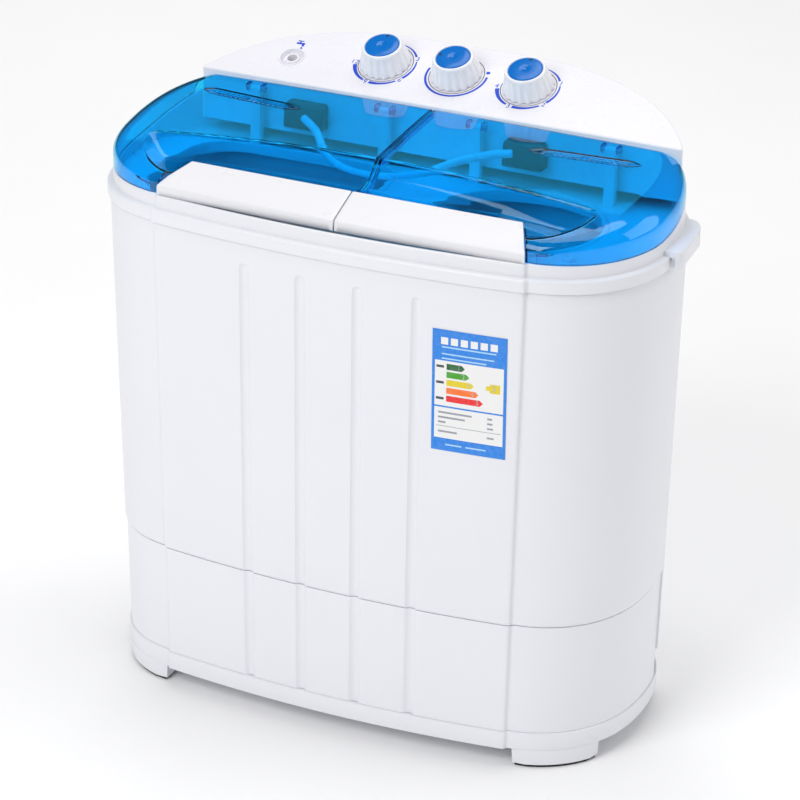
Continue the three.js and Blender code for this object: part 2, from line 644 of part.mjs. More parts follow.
function brakePost() {
  const { pivot, low } = BRAKE;
  const foot = cylinder(9, TRAY_BOTTOM + 4 + GAP, low + 1, pivot, 14);
  return union(foot, cylinder(4, low, low + 14, pivot, 12));
}

// ---- Drain, water and wiring ----
const DRAIN_SPIGOT = { z: 84, radius: 10, tip: -236 };
const GLAND = { x: 120, z: 95, radius: 7 };

function drainHole(radius) {
  return pinAlongX(radius, -250, -160, DRAIN_AXIS.y, DRAIN_SPIGOT.z, 16);
}

function glandHole(radius) {
  const geometry = new THREE.CylinderGeometry(radius, radius, 30, 14).translate(GLAND.x, 160, GLAND.z);
  return solid(geometry);
}

function drainValve() {
  return turned([[0, 66], [17, 66], [17, 104], [3.6, 104], [3.6, 100], [13, 100], [13, 70], [0, 70]],
    DRAIN_AXIS, 16);
}

function drainPlunger() {
  const rod = cylinder(2.6, 84, 566, DRAIN_AXIS, 10);
  return union(cylinder(11, 71, 84.5, DRAIN_AXIS, 18), rod);
}

function drainPipe() {
  const outer = pinAlongX(8, -172, -17.6, DRAIN_AXIS.y, DRAIN_SPIGOT.z, 14);
  return cut(outer, pinAlongX(5.5, -173, -16, DRAIN_AXIS.y, DRAIN_SPIGOT.z, 14));
}

function drainSpigot() {
  const { z, radius, tip } = DRAIN_SPIGOT;
  const body = union(
    pinAlongX(radius, tip, -172.4, DRAIN_AXIS.y, z, 18),
    pinAlongX(radius + 1.6, tip + 4, tip + 8, DRAIN_AXIS.y, z, 18),
  );
  return cut(body, pinAlongX(7, tip - 2, -170, DRAIN_AXIS.y, z, 14));
}

function cordGland() {
  const at = (r, y0, y1) =>
    solid(new THREE.CylinderGeometry(r, r, y1 - y0, 14).translate(GLAND.x, (y0 + y1) / 2, GLAND.z));
  return cut(union(at(GLAND.radius, 152, 171.5), at(GLAND.radius + 3, 168.4, 171.5)), at(4, 150, 175));
}

// Spouts under the panel's front edge pour into each tub, and a clear hose links them.
const SPOUT = { wash: -146, spin: 104, half: 22, front: 54, low: 562, high: 588 };

function spout(x) {
  const { half, front, low, high } = SPOUT;
  const outer = box([x - half, front, low], [x + half, PANEL.frontY - GAP, high]);
  return cut(outer, box([x - half + 2, front + 2, low - 1], [x + half - 2, PANEL.frontY - 3, high - 2]));
}

const HOSE_ROUTE = [
  [-140, 49, 577], [-118, 32, 573], [-91, -1, 567], [-63, -25, 564], [-33, -35, 563],
  [0, -31, 564], [30, -8, 567], [52, 24, 572], [80, 43, 577], [97, 49, 579],
];

function transferHose() {
  return rodAlong(HOSE_ROUTE, 4.2, 26, 8);
}

function lintFilter() {
  const frame = box([-161, 84, 330], [-111, 95, 440]);
  return cut(frame, box([-157, 80, 334], [-115, 92, 436]));
}

function springMount(angle) {
  const at = { x: SPIN_AXIS.x + 40 * Math.cos(angle), y: SPIN_AXIS.y + 40 * Math.sin(angle) };
  return ring(8, 5, TRAY_BOTTOM + 4 + GAP, 34 - GAP, at, 12);
}

function motorCapacitor() {
  return cylinder(16, TRAY_BOTTOM + 4 + GAP, 74, { x: 68, y: 124 }, 16);
}

// The rating label on the front, a thin curved plate just proud of the wall.
const LABEL = { left: 113, right: 190, bottom: 343, top: 472, thick: 0.5 };

function frontLabel() {
  const proud = bodySlab(CASING_INSET - GAP - LABEL.thick, LABEL.bottom, LABEL.top);
  const behind = bodySlab(CASING_INSET - GAP, LABEL.bottom - 1, LABEL.top + 1);
  const window = box([LABEL.left, -200, LABEL.bottom - 2], [LABEL.right, 0, LABEL.top + 2]);
  return cut(proud, behind).intersect(window);
}

// ---- Assembly ----
const washer = new THREE.Group();

function add(name, manifold, material) {
  const mesh = new THREE.Mesh(geometryOf(manifold), material);
  mesh.name = name;
  washer.add(mesh);
  return mesh;
}

add("base_tray", baseTray(), bodyWhite);
for (const name of Object.keys(FOOT_BOXES)) {
  add("foot_pad_" + name, footBlock(name, CASING_INSET + 3, 0, PAD_TOP), rubber);
}
add("lower_skirt", lowerSkirt(), bodyWhite);
add("upper_casing", upperCasing(), bodyWhite);
add("rear_cover", rearCover(), bodyWhite);
add("top_frame", topFrame(), bodyWhite);
add("front_label", frontLabel(), labelBlue);

add("control_panel", controlPanel(), panelWhite);
add("wash_timer", squareToPanel(switchBox(52, 48, 24), KNOB_X.wash_timer, KNOB_UP_SLOPE), darkPlastic);
add("drain_selector", squareToPanel(switchBox(40, 40, 22), KNOB_X.drain, KNOB_UP_SLOPE), greyPlastic);
add("spin_timer", squareToPanel(switchBox(52, 48, 24), KNOB_X.spin_timer, KNOB_UP_SLOPE), darkPlastic);
for (const [name, x] of Object.entries(KNOB_X)) {
  add(name + "_knob", squareToPanel(knobBody(), x, KNOB_UP_SLOPE), knobWhite);
  add(name + "_knob_cap", squareToPanel(knobCap(), x, KNOB_UP_SLOPE), capBlue);
}
add("water_inlet_socket", squareToPanel(inletSocket(), INLET.x, INLET.upSlope), panelWhite);
add("wash_water_spout", spout(SPOUT.wash), darkPlastic);
add("spin_water_spout", spout(SPOUT.spin), darkPlastic);
add("transfer_hose", transferHose(), hoseClear);

add("spin_lid", rightLid(), lidBlue);
add("spin_lid_handle", rightHandle(), handleWhite);
add("spin_lid_pin_inner", hingePin(HINGE_X[0]), steel);
add("spin_lid_pin_outer", hingePin(HINGE_X[1]), steel);
add("wash_lid", mirrored(rightLid()), lidBlue);
add("wash_lid_handle", mirrored(rightHandle()), handleWhite);
add("wash_lid_pin_inner", hingePin(-HINGE_X[0]), steel);
add("wash_lid_pin_outer", hingePin(-HINGE_X[1]), steel);

add("wash_tub", washTub(), tubWhite);
add("lint_filter", lintFilter(), capBlue);
add("pulsator", pulsator(), tubWhite);
add("pulsator_shaft", cylinder(5.8, 56, TUB_FLOOR + 7 - GAP, WASH_AXIS, 16), steel);
add("wash_bearing_housing", bearingHousing(WASH_AXIS, 6.4, 34, 76, TUB_FLOOR - GAP), castGrey);
add("wash_pulley", pulley(BIG_PULLEY_RADIUS, 6.1, WASH_AXIS, 30), castGrey);
add("drive_belt", driveBelt(), rubber);
add("wash_motor", washMotor(), castGrey);
add("wash_motor_pulley", motorPulley(), castGrey);
add("motor_bracket", motorBracket(), steel);

add("spin_tub", spinTub(), tubWhite);
add("spin_water_seal", waterSeal(), rubber);
add("spin_basket", spinBasket(), tubWhite);
add("balance_ring", ring(97, 87, 478, 494, SPIN_AXIS, 32), tubWhite);
add("spin_shaft", cylinder(5.8, 62, BASKET.bottom + 24, SPIN_AXIS, 16), steel);
add("brake_drum", brakeDrum(), castGrey);
add("spin_motor", spinMotor(), castGrey);
[0, 1, 2].forEach((i) => add("spin_motor_spring_" + (i + 1), springMount((2 * Math.PI * i) / 3), steel));
add("brake_lever", brakeLever(), steel);
add("brake_post", brakePost(), darkPlastic);

add("drain_valve", drainValve(), greyPlastic);
add("drain_plunger", drainPlunger(), darkPlastic);
add("drain_pipe", drainPipe(), greyPlastic);
add("drain_spigot", drainSpigot(), bodyWhite);
add("cord_gland", cordGland(), rubber);
add("motor_capacitor", motorCapacitor(), darkPlastic);

export default washer;
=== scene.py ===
"""A small twin tub washer: agitator tub on the left, spin basket on the right, under two clear blue lids.

Sizes are in millimetres in the part's own frame: +Z up, the front faces -Y, the origin on the floor
under the middle of the machine. Each mesh is brought to metres as it is made.
"""

import math

import bmesh
import bpy
import numpy as np
from mathutils import Matrix, Quaternion, Vector


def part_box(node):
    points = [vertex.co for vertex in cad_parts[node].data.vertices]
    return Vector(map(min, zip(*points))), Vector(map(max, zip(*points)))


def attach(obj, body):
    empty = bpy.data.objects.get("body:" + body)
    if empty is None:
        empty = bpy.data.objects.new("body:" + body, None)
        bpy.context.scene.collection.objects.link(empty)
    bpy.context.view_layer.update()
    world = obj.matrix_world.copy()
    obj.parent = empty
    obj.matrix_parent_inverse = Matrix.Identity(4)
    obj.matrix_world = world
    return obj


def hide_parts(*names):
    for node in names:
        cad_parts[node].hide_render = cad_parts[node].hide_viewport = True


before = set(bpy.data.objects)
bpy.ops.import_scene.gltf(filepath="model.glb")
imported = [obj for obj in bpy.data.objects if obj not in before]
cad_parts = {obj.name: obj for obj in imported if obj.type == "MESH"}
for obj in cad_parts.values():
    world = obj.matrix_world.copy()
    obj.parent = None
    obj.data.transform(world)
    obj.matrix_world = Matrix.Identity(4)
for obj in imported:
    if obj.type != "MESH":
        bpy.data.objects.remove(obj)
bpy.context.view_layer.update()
MM = 0.001

# ---- Driving dimensions ----
RIM_HALF_WIDTH = 306.0
REAR_Y = 172.5
FRONT_CORNER_X = 206.0
FRONT_CORNER_Y = -158.5
FRONT_BOW = 14.0
SIDE_ARC_X = 180.0
SIDE_ARC_DEPTH = 131.0
REAR_ARC_X = 50.0
WIDEST_Y = -25.0
CURVE_POWER = 2.3
DRAFT = 0.036
WALL = 2.6

CASING_INSET = 3.0
SKIRT_INSET = 5.0
UPPER_TIER_INSET = 6.0
HOOD_INSET = 8.0

RIM_STEP = 536.0
DECK = 540.0
RIM_TOP = 550.0

PANEL_FRONT_Y = 71.5
PANEL_FRONT_Z = 607.0
PANEL_TILT = math.atan(41.0 / 101.0)

HANDLE_END_X = 203.0
SEAM = 0.8
LID_REAR_Y = 65.0
HINGE_Y = 59.0
HINGE_Z = 597.0
HINGE_X = (52.0, 201.0)

FLUTES = (-96.0, -32.0, 32.0, 96.0)
FLUTE_RADIUS = 7.5
FLUTE_DEPTH = 2.7
FLUTE_TOP = 501.0

SEGMENTS = 72


def corners(node):
    """The lowest and highest corner of a CAD node, in millimetres."""
    low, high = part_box(node)
    return low / MM, high / MM


def centre(node):
    low, high = corners(node)
    return (low + high) / 2


CASING_TOP = corners("upper_casing")[1].z
WAIST = corners("lower_skirt")[1].z
TRAY_BOTTOM = 20.0
TRAY_TOP = corners("base_tray")[1].z
COVER_FOOT = corners("rear_cover")[0].z
TUB_TOP = corners("wash_tub")[1].z
TUB_FLOOR = corners("wash_tub")[0].z
WASH_AXIS = centre("pulsator")
SPIN_AXIS = centre("spin_basket")


# ---- Mesh work ----
def clean(mesh, turn_out=True, sharp=32.0):
    """Merges doubles, turns the faces outwards and shades the mesh smooth up to its sharp edges."""
    work = bmesh.new()
    work.from_mesh(mesh)
    bmesh.ops.remove_doubles(work, verts=work.verts, dist=2e-6)
    bmesh.ops.dissolve_degenerate(work, edges=work.edges, dist=1e-6)
    if turn_out:
        bmesh.ops.recalc_face_normals(work, faces=work.faces)
    work.to_mesh(mesh)
    work.free()
    mesh.shade_smooth()
    mesh.set_sharp_from_angle(angle=math.radians(sharp))


def piece_from(name, points, faces, turn_out=True, sharp=32.0):
    """A new piece from points in millimetres."""
    mesh = bpy.data.meshes.new(name)
    mesh.from_pydata([Vector(p) * MM for p in points], [], faces)
    clean(mesh, turn_out, sharp)
    piece = bpy.data.objects.new(name, mesh)
    bpy.context.scene.collection.objects.link(piece)
    return piece


def finish_piece(piece, body, material, replaced=()):
    """Paints a piece, fixes it to its body, and hides the CAD nodes that it stands for."""
    piece.data.materials.clear()
    piece.data.materials.append(material)
    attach(piece, body)
    if replaced:
        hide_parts(*replaced)
    return piece


def loft(loops, wrap=False, closed=True, cap_first=False, cap_last=False, offset=0):
    """Faces between loops of equally many points, each joined to the next."""
    count = len(loops[0])
    points = [p for loop in loops for p in loop]
    faces = []
    for j in range(len(loops) if wrap else len(loops) - 1):
        a = offset + j * count
        b = offset + ((j + 1) % len(loops)) * count
        for i in range(count if closed else count - 1):
            k = (i + 1) % count
            faces.append((a + i, a + k, b + k, b + i))
    if cap_first:
        faces.append(tuple(offset + i for i in reversed(range(count))))
    if cap_last:
        last = offset + (len(loops) - 1) * count
        faces.append(tuple(last + i for i in range(count)))
    return points, faces


def shell(parts):
    """Joins several (points, faces) lists into one."""
    points, faces = [], []
    for part_points, part_faces in parts:
        start = len(points)
        points += list(part_points)
        faces += [tuple(start + i for i in face) for face in part_faces]
    return points, faces


def softened(profile, radius, steps=3, closed=True):
    """A polyline with its corners rounded. A point may bring its own radius as a third number."""
    made = []
    last = len(profile) - 1
    for i, point in enumerate(profile):
        here = Vector(point[:2])
        if not closed and i in (0, last):
            made.append(tuple(here))
            continue
        before = Vector(profile[i - 1][:2])
        after = Vector(profile[(i + 1) % len(profile)][:2])
        reach = point[2] if len(point) > 2 else radius
        reach = min(reach, 0.45 * (before - here).length, 0.45 * (after - here).length)
        if reach < 0.02:
            made.append(tuple(here))
            continue
        start = here + (before - here).normalized() * reach
        end = here + (after - here).normalized() * reach
        for k in range(steps + 1):
            t = k / steps
            made.append(tuple(start * (1 - t) ** 2 + here * 2 * t * (1 - t) + end * t * t))
    return made


def turned(profile, axis, segments=SEGMENTS, closed=True, radius=0.8):
    """A turned shape: a profile of (radius, height) points swept round a vertical axis."""
    outline = softened(profile, radius, closed=closed)
    loops = []
    for i in range(segments):
        angle = 2 * math.pi * i / segments
        c, s = math.cos(angle), math.sin(angle)
        loops.append([(axis.x + r * c, axis.y + r * s, z) for r, z in outline])
    return loft(loops, wrap=True, closed=closed)


def box_block(low, high):
    """The points and faces of a plain block."""
    (x0, y0, z0), (x1, y1, z1) = low, high
    lower = [(x0, y0, z0), (x1, y0, z0), (x1, y1, z0), (x0, y1, z0)]
    upper = [(x, y, z1) for x, y, _ in lower]
    return loft([lower, upper], cap_first=True, cap_last=True)


def round_edges(piece, width, segments=3, pick=None, angle=30.0):
    """Rounds the edges sharper than the angle, or those of them that pick accepts."""
    work = bmesh.new()
    work.from_mesh(piece.data)
    chosen = []
    for edge in work.edges:
        if len(edge.link_faces) != 2 or edge.calc_face_angle(0) < math.radians(angle):
            continue
        middle = (edge.verts[0].co + edge.verts[1].co) / 2 / MM
        if pick is None or pick(middle):
            chosen.append(edge)
    bmesh.ops.bevel(work, geom=chosen, offset=width * MM, segments=segments, profile=0.5,
                    affect="EDGES", clamp_overlap=True)
    work.to_mesh(piece.data)
    work.free()
    clean(piece.data)
    return piece


def thicken(piece, thickness, even=True):
    """Gives a skin its wall, inwards."""
    wall = piece.modifiers.new("wall", "SOLIDIFY")
    wall.thickness = thickness * MM
    wall.offset = -1.0
    wall.use_even_offset = even
    wall.use_quality_normals = True
    return piece


# ---- Geometry Nodes for what repeats ----
def new_tree(name, inputs):
    """A node tree with named inputs, and its group input node."""
    tree = bpy.data.node_groups.new(name, "GeometryNodeTree")
    tree.interface.new_socket("Geometry", in_out="INPUT", socket_type="NodeSocketGeometry")
    for label, kind, default in inputs:
        socket = tree.interface.new_socket(label, in_out="INPUT", socket_type=kind)
        if default is not None:
            socket.default_value = default
    tree.interface.new_socket("Geometry", in_out="OUTPUT", socket_type="NodeSocketGeometry")
    return tree, tree.nodes.new("NodeGroupInput")


def tree_math(tree, operation, first, second=None):
    """One maths step. Its inputs are sockets or numbers."""
    step = tree.nodes.new("ShaderNodeMath")
    step.operation = operation
    for socket, value in zip(step.inputs, (first, second)):
        if value is None:
            continue
        if isinstance(value, (int, float)):
            socket.default_value = value
        else:
            tree.links.new(value, socket)
    return step.outputs[0]


def end_tree(tree, geometry, material_socket):
    """Realizes the copies and paints them, which is how every tree here ends."""
    realize = tree.nodes.new("GeometryNodeRealizeInstances")
    paint = tree.nodes.new("GeometryNodeSetMaterial")
    out = tree.nodes.new("NodeGroupOutput")
    tree.links.new(geometry, realize.inputs[0])
    tree.links.new(realize.outputs[0], paint.inputs["Geometry"])
    tree.links.new(material_socket, paint.inputs["Material"])
    tree.links.new(paint.outputs[0], out.inputs[0])
    return tree


def ring_of_copies_tree():
    """Copies of one piece round the Z axis in rows, every other row half a pitch on."""
    tree, given = new_tree("ring_of_copies", [
        ("Copy", "NodeSocketObject", None), ("Copies Around", "NodeSocketInt", 12),
        ("Rows", "NodeSocketInt", 1), ("Row Pitch", "NodeSocketFloat", 0.01),
        ("Stagger", "NodeSocketFloat", 0.0), ("Material", "NodeSocketMaterial", None)])
    index = tree.nodes.new("GeometryNodeInputIndex").outputs[0]
    around = given.outputs["Copies Around"]
    row = tree_math(tree, "FLOOR", tree_math(tree, "DIVIDE", tree_math(tree, "ADD", index, 0.5), around))
    odd = tree_math(tree, "MODULO", row, 2.0)
    place = tree_math(tree, "ADD", index, tree_math(tree, "MULTIPLY", odd, given.outputs["Stagger"]))
    angle = tree_math(tree, "MULTIPLY", tree_math(tree, "DIVIDE", place, around), 2 * math.pi)
    height = tree_math(tree, "MULTIPLY", row, given.outputs["Row Pitch"])
    points = tree.nodes.new("GeometryNodePoints")
    total = tree_math(tree, "MULTIPLY", around, given.outputs["Rows"])
    at = tree.nodes.new("ShaderNodeCombineXYZ")
    turn = tree.nodes.new("ShaderNodeCombineXYZ")
    rotation = tree.nodes.new("FunctionNodeEulerToRotation")
    copy = tree.nodes.new("GeometryNodeObjectInfo")
    place_copies = tree.nodes.new("GeometryNodeInstanceOnPoints")
    tree.links.new(total, points.inputs["Count"])
    tree.links.new(height, at.inputs["Z"])
    tree.links.new(at.outputs[0], points.inputs["Position"])
    tree.links.new(angle, turn.inputs["Z"])
    tree.links.new(turn.outputs[0], rotation.inputs[0])
    tree.links.new(given.outputs["Copy"], copy.inputs["Object"])
    tree.links.new(points.outputs[0], place_copies.inputs["Points"])
    tree.links.new(copy.outputs["Geometry"], place_copies.inputs["Instance"])
    tree.links.new(rotation.outputs[0], place_copies.inputs["Rotation"])
    return end_tree(tree, place_copies.outputs[0], given.outputs["Material"])


def copies_at_points_tree():
    """A copy of one piece on each point of a mesh, turned as the point's own turn says."""
    tree, given = new_tree("copies_at_points", [
        ("Copy", "NodeSocketObject", None), ("Size", "NodeSocketFloat", 1.0),
        ("Material", "NodeSocketMaterial", None)])
    turn = tree.nodes.new("GeometryNodeInputNamedAttribute")
    turn.data_type = "FLOAT_VECTOR"
    turn.inputs["Name"].default_value = "turn"
    rotation = tree.nodes.new("FunctionNodeEulerToRotation")
    copy = tree.nodes.new("GeometryNodeObjectInfo")
    place_copies = tree.nodes.new("GeometryNodeInstanceOnPoints")
    tree.links.new(turn.outputs[0], rotation.inputs[0])
    tree.links.new(given.outputs["Copy"], copy.inputs["Object"])
    tree.links.new(given.outputs["Geometry"], place_copies.inputs["Points"])
    tree.links.new(copy.outputs["Geometry"], place_copies.inputs["Instance"])
    tree.links.new(rotation.outputs[0], place_copies.inputs["Rotation"])
    tree.links.new(given.outputs["Size"], place_copies.inputs["Scale"])
    return end_tree(tree, place_copies.outputs[0], given.outputs["Material"])


def scallop_tree():
    """Presses scallops into a knob's skirt: deep at the foot, none at its smooth top."""
    tree, given = new_tree("scalloped_skirt", [
        ("Scallops", "NodeSocketInt", 18), ("Depth", "NodeSocketFloat", 0.001),
        ("Skirt Top", "NodeSocketFloat", 0.02), ("Inner Radius", "NodeSocketFloat", 0.018),
        ("Material", "NodeSocketMaterial", None)])
    position = tree.nodes.new("GeometryNodeInputPosition").outputs[0]
    split = tree.nodes.new("ShaderNodeSeparateXYZ")
    tree.links.new(position, split.inputs[0])
    x, y, z = split.outputs
    angle = tree_math(tree, "ARCTAN2", y, x)
    phase = tree_math(tree, "MULTIPLY", angle, given.outputs["Scallops"])
    ridge = tree_math(tree, "ABSOLUTE", tree_math(tree, "SINE", tree_math(tree, "MULTIPLY", phase, 0.5)))
    valley = tree_math(tree, "SUBTRACT", 1.0, tree_math(tree, "POWER", ridge, 1.6))
    share = tree_math(tree, "SUBTRACT", 1.0, tree_math(tree, "DIVIDE", z, given.outputs["Skirt Top"]))
    fade = tree_math(tree, "POWER", tree_math(tree, "MAXIMUM", share, 0.0), 0.45)
    radius = tree_math(tree, "SQRT", tree_math(tree, "ADD", tree_math(tree, "MULTIPLY", x, x),
                                               tree_math(tree, "MULTIPLY", y, y)))
    outer = tree_math(tree, "GREATER_THAN", radius, given.outputs["Inner Radius"])
    press = tree_math(tree, "MULTIPLY", tree_math(tree, "MULTIPLY", valley, fade),
                      tree_math(tree, "MULTIPLY", outer, given.outputs["Depth"]))
    scale = tree_math(tree, "SUBTRACT", 1.0, tree_math(tree, "DIVIDE", press,
                                                       tree_math(tree, "MAXIMUM", radius, 1e-6)))
    moved = tree.nodes.new("ShaderNodeCombineXYZ")
    tree.links.new(tree_math(tree, "MULTIPLY", x, scale), moved.inputs["X"])
    tree.links.new(tree_math(tree, "MULTIPLY", y, scale), moved.inputs["Y"])
    tree.links.new(z, moved.inputs["Z"])
    press_in = tree.nodes.new("GeometryNodeSetPosition")
    tree.links.new(given.outputs["Geometry"], press_in.inputs["Geometry"])
    tree.links.new(moved.outputs[0], press_in.inputs["Position"])
    return end_tree(tree, press_in.outputs[0], given.outputs["Material"])


def run_tree(piece, tree, values):
    """Runs a tree on a piece and leaves the result as its plain mesh."""
    modifier = piece.modifiers.new(tree.name, "NODES")
    modifier.node_group = tree
    for item in tree.interface.items_tree:
        if item.item_type == "SOCKET" and item.in_out == "INPUT" and item.name in values:
            modifier[item.identifier] = values[item.name]
    piece.update_tag()
    bpy.context.view_layer.update()
    graph = bpy.context.evaluated_depsgraph_get()
    mesh = bpy.data.meshes.new_from_object(piece.evaluated_get(graph), depsgraph=graph)
    piece.modifiers.remove(modifier)
    piece.data = mesh
    return piece


RING_OF_COPIES = ring_of_copies_tree()
COPIES_AT_POINTS = copies_at_points_tree()
SCALLOPED_SKIRT = scallop_tree()


def ring_of(name, points, faces, count, rows, row_pitch, stagger, material, axis, start_z):
    """One piece repeated round an upright axis, its pattern drawn about the Z axis."""
    pattern = piece_from(name + "_pattern", points, faces, turn_out=False)
    made = piece_from(name, [(0, 0, 0)], [])
    run_tree(made, RING_OF_COPIES, {
        "Copy": pattern, "Copies Around": count, "Rows": rows, "Row Pitch": row_pitch * MM,
        "Stagger": stagger, "Material": material})
    bpy.data.objects.remove(pattern)
    made.data.transform(Matrix.Translation(Vector((axis.x, axis.y, start_z)) * MM))
    return made


def copies_at(name, points, faces, places, material, size=1.0):
    """One piece repeated at a list of (place, turn) pairs."""
    pattern = piece_from(name + "_pattern", points, faces)
    made = piece_from(name, [place for place, _ in places], [])
    turns = made.data.attributes.new("turn", "FLOAT_VECTOR", "POINT")
    for value, (_, turn) in zip(turns.data, places):
        value.vector = turn
    run_tree(made, COPIES_AT_POINTS, {"Copy": pattern, "Size": size, "Material": material})
    bpy.data.objects.remove(pattern)
    clean(made.data, turn_out=False)
    return made


# ---- Materials ----
def rgb(red, green, blue):
    """A colour from its 0-255 screen values, as linear light."""
    def linear(v):
        c = v / 255
        return c / 12.92 if c <= 0.04045 else ((c + 0.055) / 1.055) ** 2.4
    return (linear(red), linear(green), linear(blue), 1.0)


def scaled(colour, factor):
    return tuple(min(c * factor, 1.0) for c in colour[:3]) + (1.0,)


class Finish:
    """A material being built: a shader with patterns on object coordinates."""

    def __init__(self, name):
        self.material = bpy.data.materials.new(name)
        self.material.use_nodes = True
        self.nodes = self.material.node_tree.nodes
        self.links = self.material.node_tree.links
        self.shader = self.nodes["Principled BSDF"]
        self.place = self.nodes.new("ShaderNodeTexCoord").outputs["Object"]

    def noise(self, scale, detail=3.0, stretch=None):
        pattern = self.nodes.new("ShaderNodeTexNoise")
        pattern.inputs["Scale"].default_value = scale
        pattern.inputs["Detail"].default_value = detail
        source = self.place
        if stretch:
            mapping = self.nodes.new("ShaderNodeMapping")
            mapping.inputs["Scale"].default_value = stretch
            self.links.new(self.place, mapping.inputs[0])
            source = mapping.outputs[0]
        self.links.new(source, pattern.inputs["Vector"])
        return pattern.outputs["Fac"]

    def span(self, source, low, high, from_low=0.3, from_high=0.7):
        """Maps a pattern onto a range of values."""
        mapped = self.nodes.new("ShaderNodeMapRange")
        mapped.inputs["From Min"].default_value = from_low
        mapped.inputs["From Max"].default_value = from_high
        mapped.inputs["To Min"].default_value = low
        mapped.inputs["To Max"].default_value = high
        self.links.new(source, mapped.inputs["Value"])
        return mapped.outputs["Result"]

    def blend(self, factor, first, second):
        mix = self.nodes.new("ShaderNodeMix")
        mix.data_type = "RGBA"
        for socket, value in ((mix.inputs[6], first), (mix.inputs[7], second)):
            if isinstance(value, tuple):
                socket.default_value = value
            else:
                self.links.new(value, socket)
        self.links.new(factor, mix.inputs["Factor"])
        return mix.outputs[2]

    def bump(self, height, strength, distance):
        """A fine relief, its depth in millimetres."""
        relief = self.nodes.new("ShaderNodeBump")
        relief.inputs["Strength"].default_value = strength
        relief.inputs["Distance"].default_value = distance * MM
        self.links.new(height, relief.inputs["Height"])
        self.links.new(relief.outputs[0], self.shader.inputs["Normal"])

    def set(self, **sockets):
        """Sets the shader's own sockets, named with underscores for spaces."""
        for name, value in sockets.items():
            self.shader.inputs[name.replace("_", " ")].default_value = value
        return self


def moulded(name, colour, roughness=0.35, spread=0.03, tone=0.006, relief=0.01, **sockets):
    """Injection-moulded plastic: a faint cloud in its colour and gloss, and a fine skin."""
    finish = Finish(name)
    cloud = finish.span(finish.noise(7.0), 0.0, 1.0)
    colour_out = finish.blend(cloud, scaled(colour, 1 - tone), scaled(colour, 1 + tone))
    finish.links.new(colour_out, finish.shader.inputs["Base Color"])
    gloss = finish.span(finish.noise(38.0, 4.0), roughness - spread, roughness + spread)
    finish.links.new(gloss, finish.shader.inputs["Roughness"])
    finish.bump(finish.noise(900.0, 2.0), relief, 0.12)
    finish.set(IOR=1.49, **sockets)
    return finish.material


def clear_moulded(name, colour, shade, transmission=1.0, roughness=0.04, tone=0.08, ior=1.49):
    """Clear tinted plastic. Lamps shine through it with the shade's colour."""
    finish = Finish(name)
    cloud = finish.span(finish.noise(5.0), 0.0, 1.0)
    tint = finish.blend(cloud, scaled(colour, 1 - tone), scaled(colour, 1 + tone))
    finish.links.new(tint, finish.shader.inputs["Base Color"])
    gloss = finish.span(finish.noise(30.0, 4.0), roughness * 0.6, roughness * 1.5)
    finish.links.new(gloss, finish.shader.inputs["Roughness"])
    finish.bump(finish.noise(22.0, 2.0), 0.02, 0.5)
    finish.set(IOR=ior, Transmission_Weight=transmission)
    light_path = finish.nodes.new("ShaderNodeLightPath")
    through = finish.nodes.new("ShaderNodeBsdfTransparent")
    through.inputs["Color"].default_value = shade
    mix = finish.nodes.new("ShaderNodeMixShader")
    out = finish.nodes["Material Output"]
    finish.links.new(light_path.outputs["Is Shadow Ray"], mix.inputs[0])
    finish.links.new(finish.shader.outputs[0], mix.inputs[1])
    finish.links.new(through.outputs[0], mix.inputs[2])
    finish.links.new(mix.outputs[0], out.inputs["Surface"])
    return finish.material


def metal(name, colour, roughness, stretch=None, relief=0.1):
    """Metal with fine brushed or cast grain."""
    finish = Finish(name)
    grain = finish.noise(320.0, 5.0, stretch)
    tint = finish.blend(finish.span(grain, 0.0, 1.0), scaled(colour, 0.86), scaled(colour, 1.1))
    finish.links.new(tint, finish.shader.inputs["Base Color"])
    gloss = finish.span(grain, roughness - 0.08, roughness + 0.1)
    finish.links.new(gloss, finish.shader.inputs["Roughness"])
    finish.bump(grain, relief, 0.2)
    finish.set(Metallic=1.0)
    return finish.material


def rubbery(name, colour):
    """Dull black rubber with dust in its grain."""
    finish = Finish(name)
    dust = finish.span(finish.noise(120.0, 5.0), 0.0, 1.0, 0.45, 0.75)
    tint = finish.blend(dust, colour, scaled(colour, 2.2))
    finish.links.new(tint, finish.shader.inputs["Base Color"])
    gloss = finish.span(finish.noise(60.0), 0.7, 0.92)
    finish.links.new(gloss, finish.shader.inputs["Roughness"])
    finish.bump(finish.noise(700.0, 3.0), 0.15, 0.3)
    return finish.material


def printed_film(name, attribute="ink"):
    """A printed film: the ink colours lie in a colour attribute, under a satin face."""
    finish = Finish(name)
    ink = finish.nodes.new("ShaderNodeAttribute")
    ink.attribute_name = attribute
    mottle = finish.span(finish.noise(260.0, 3.0), 0.0, 0.06)
    tint = finish.blend(mottle, ink.outputs["Color"], rgb(250, 250, 252))
    finish.links.new(tint, finish.shader.inputs["Base Color"])
    gloss = finish.span(finish.noise(45.0), 0.28, 0.42)
    finish.links.new(gloss, finish.shader.inputs["Roughness"])
    finish.bump(finish.noise(500.0), 0.03, 0.1)
    return finish.material


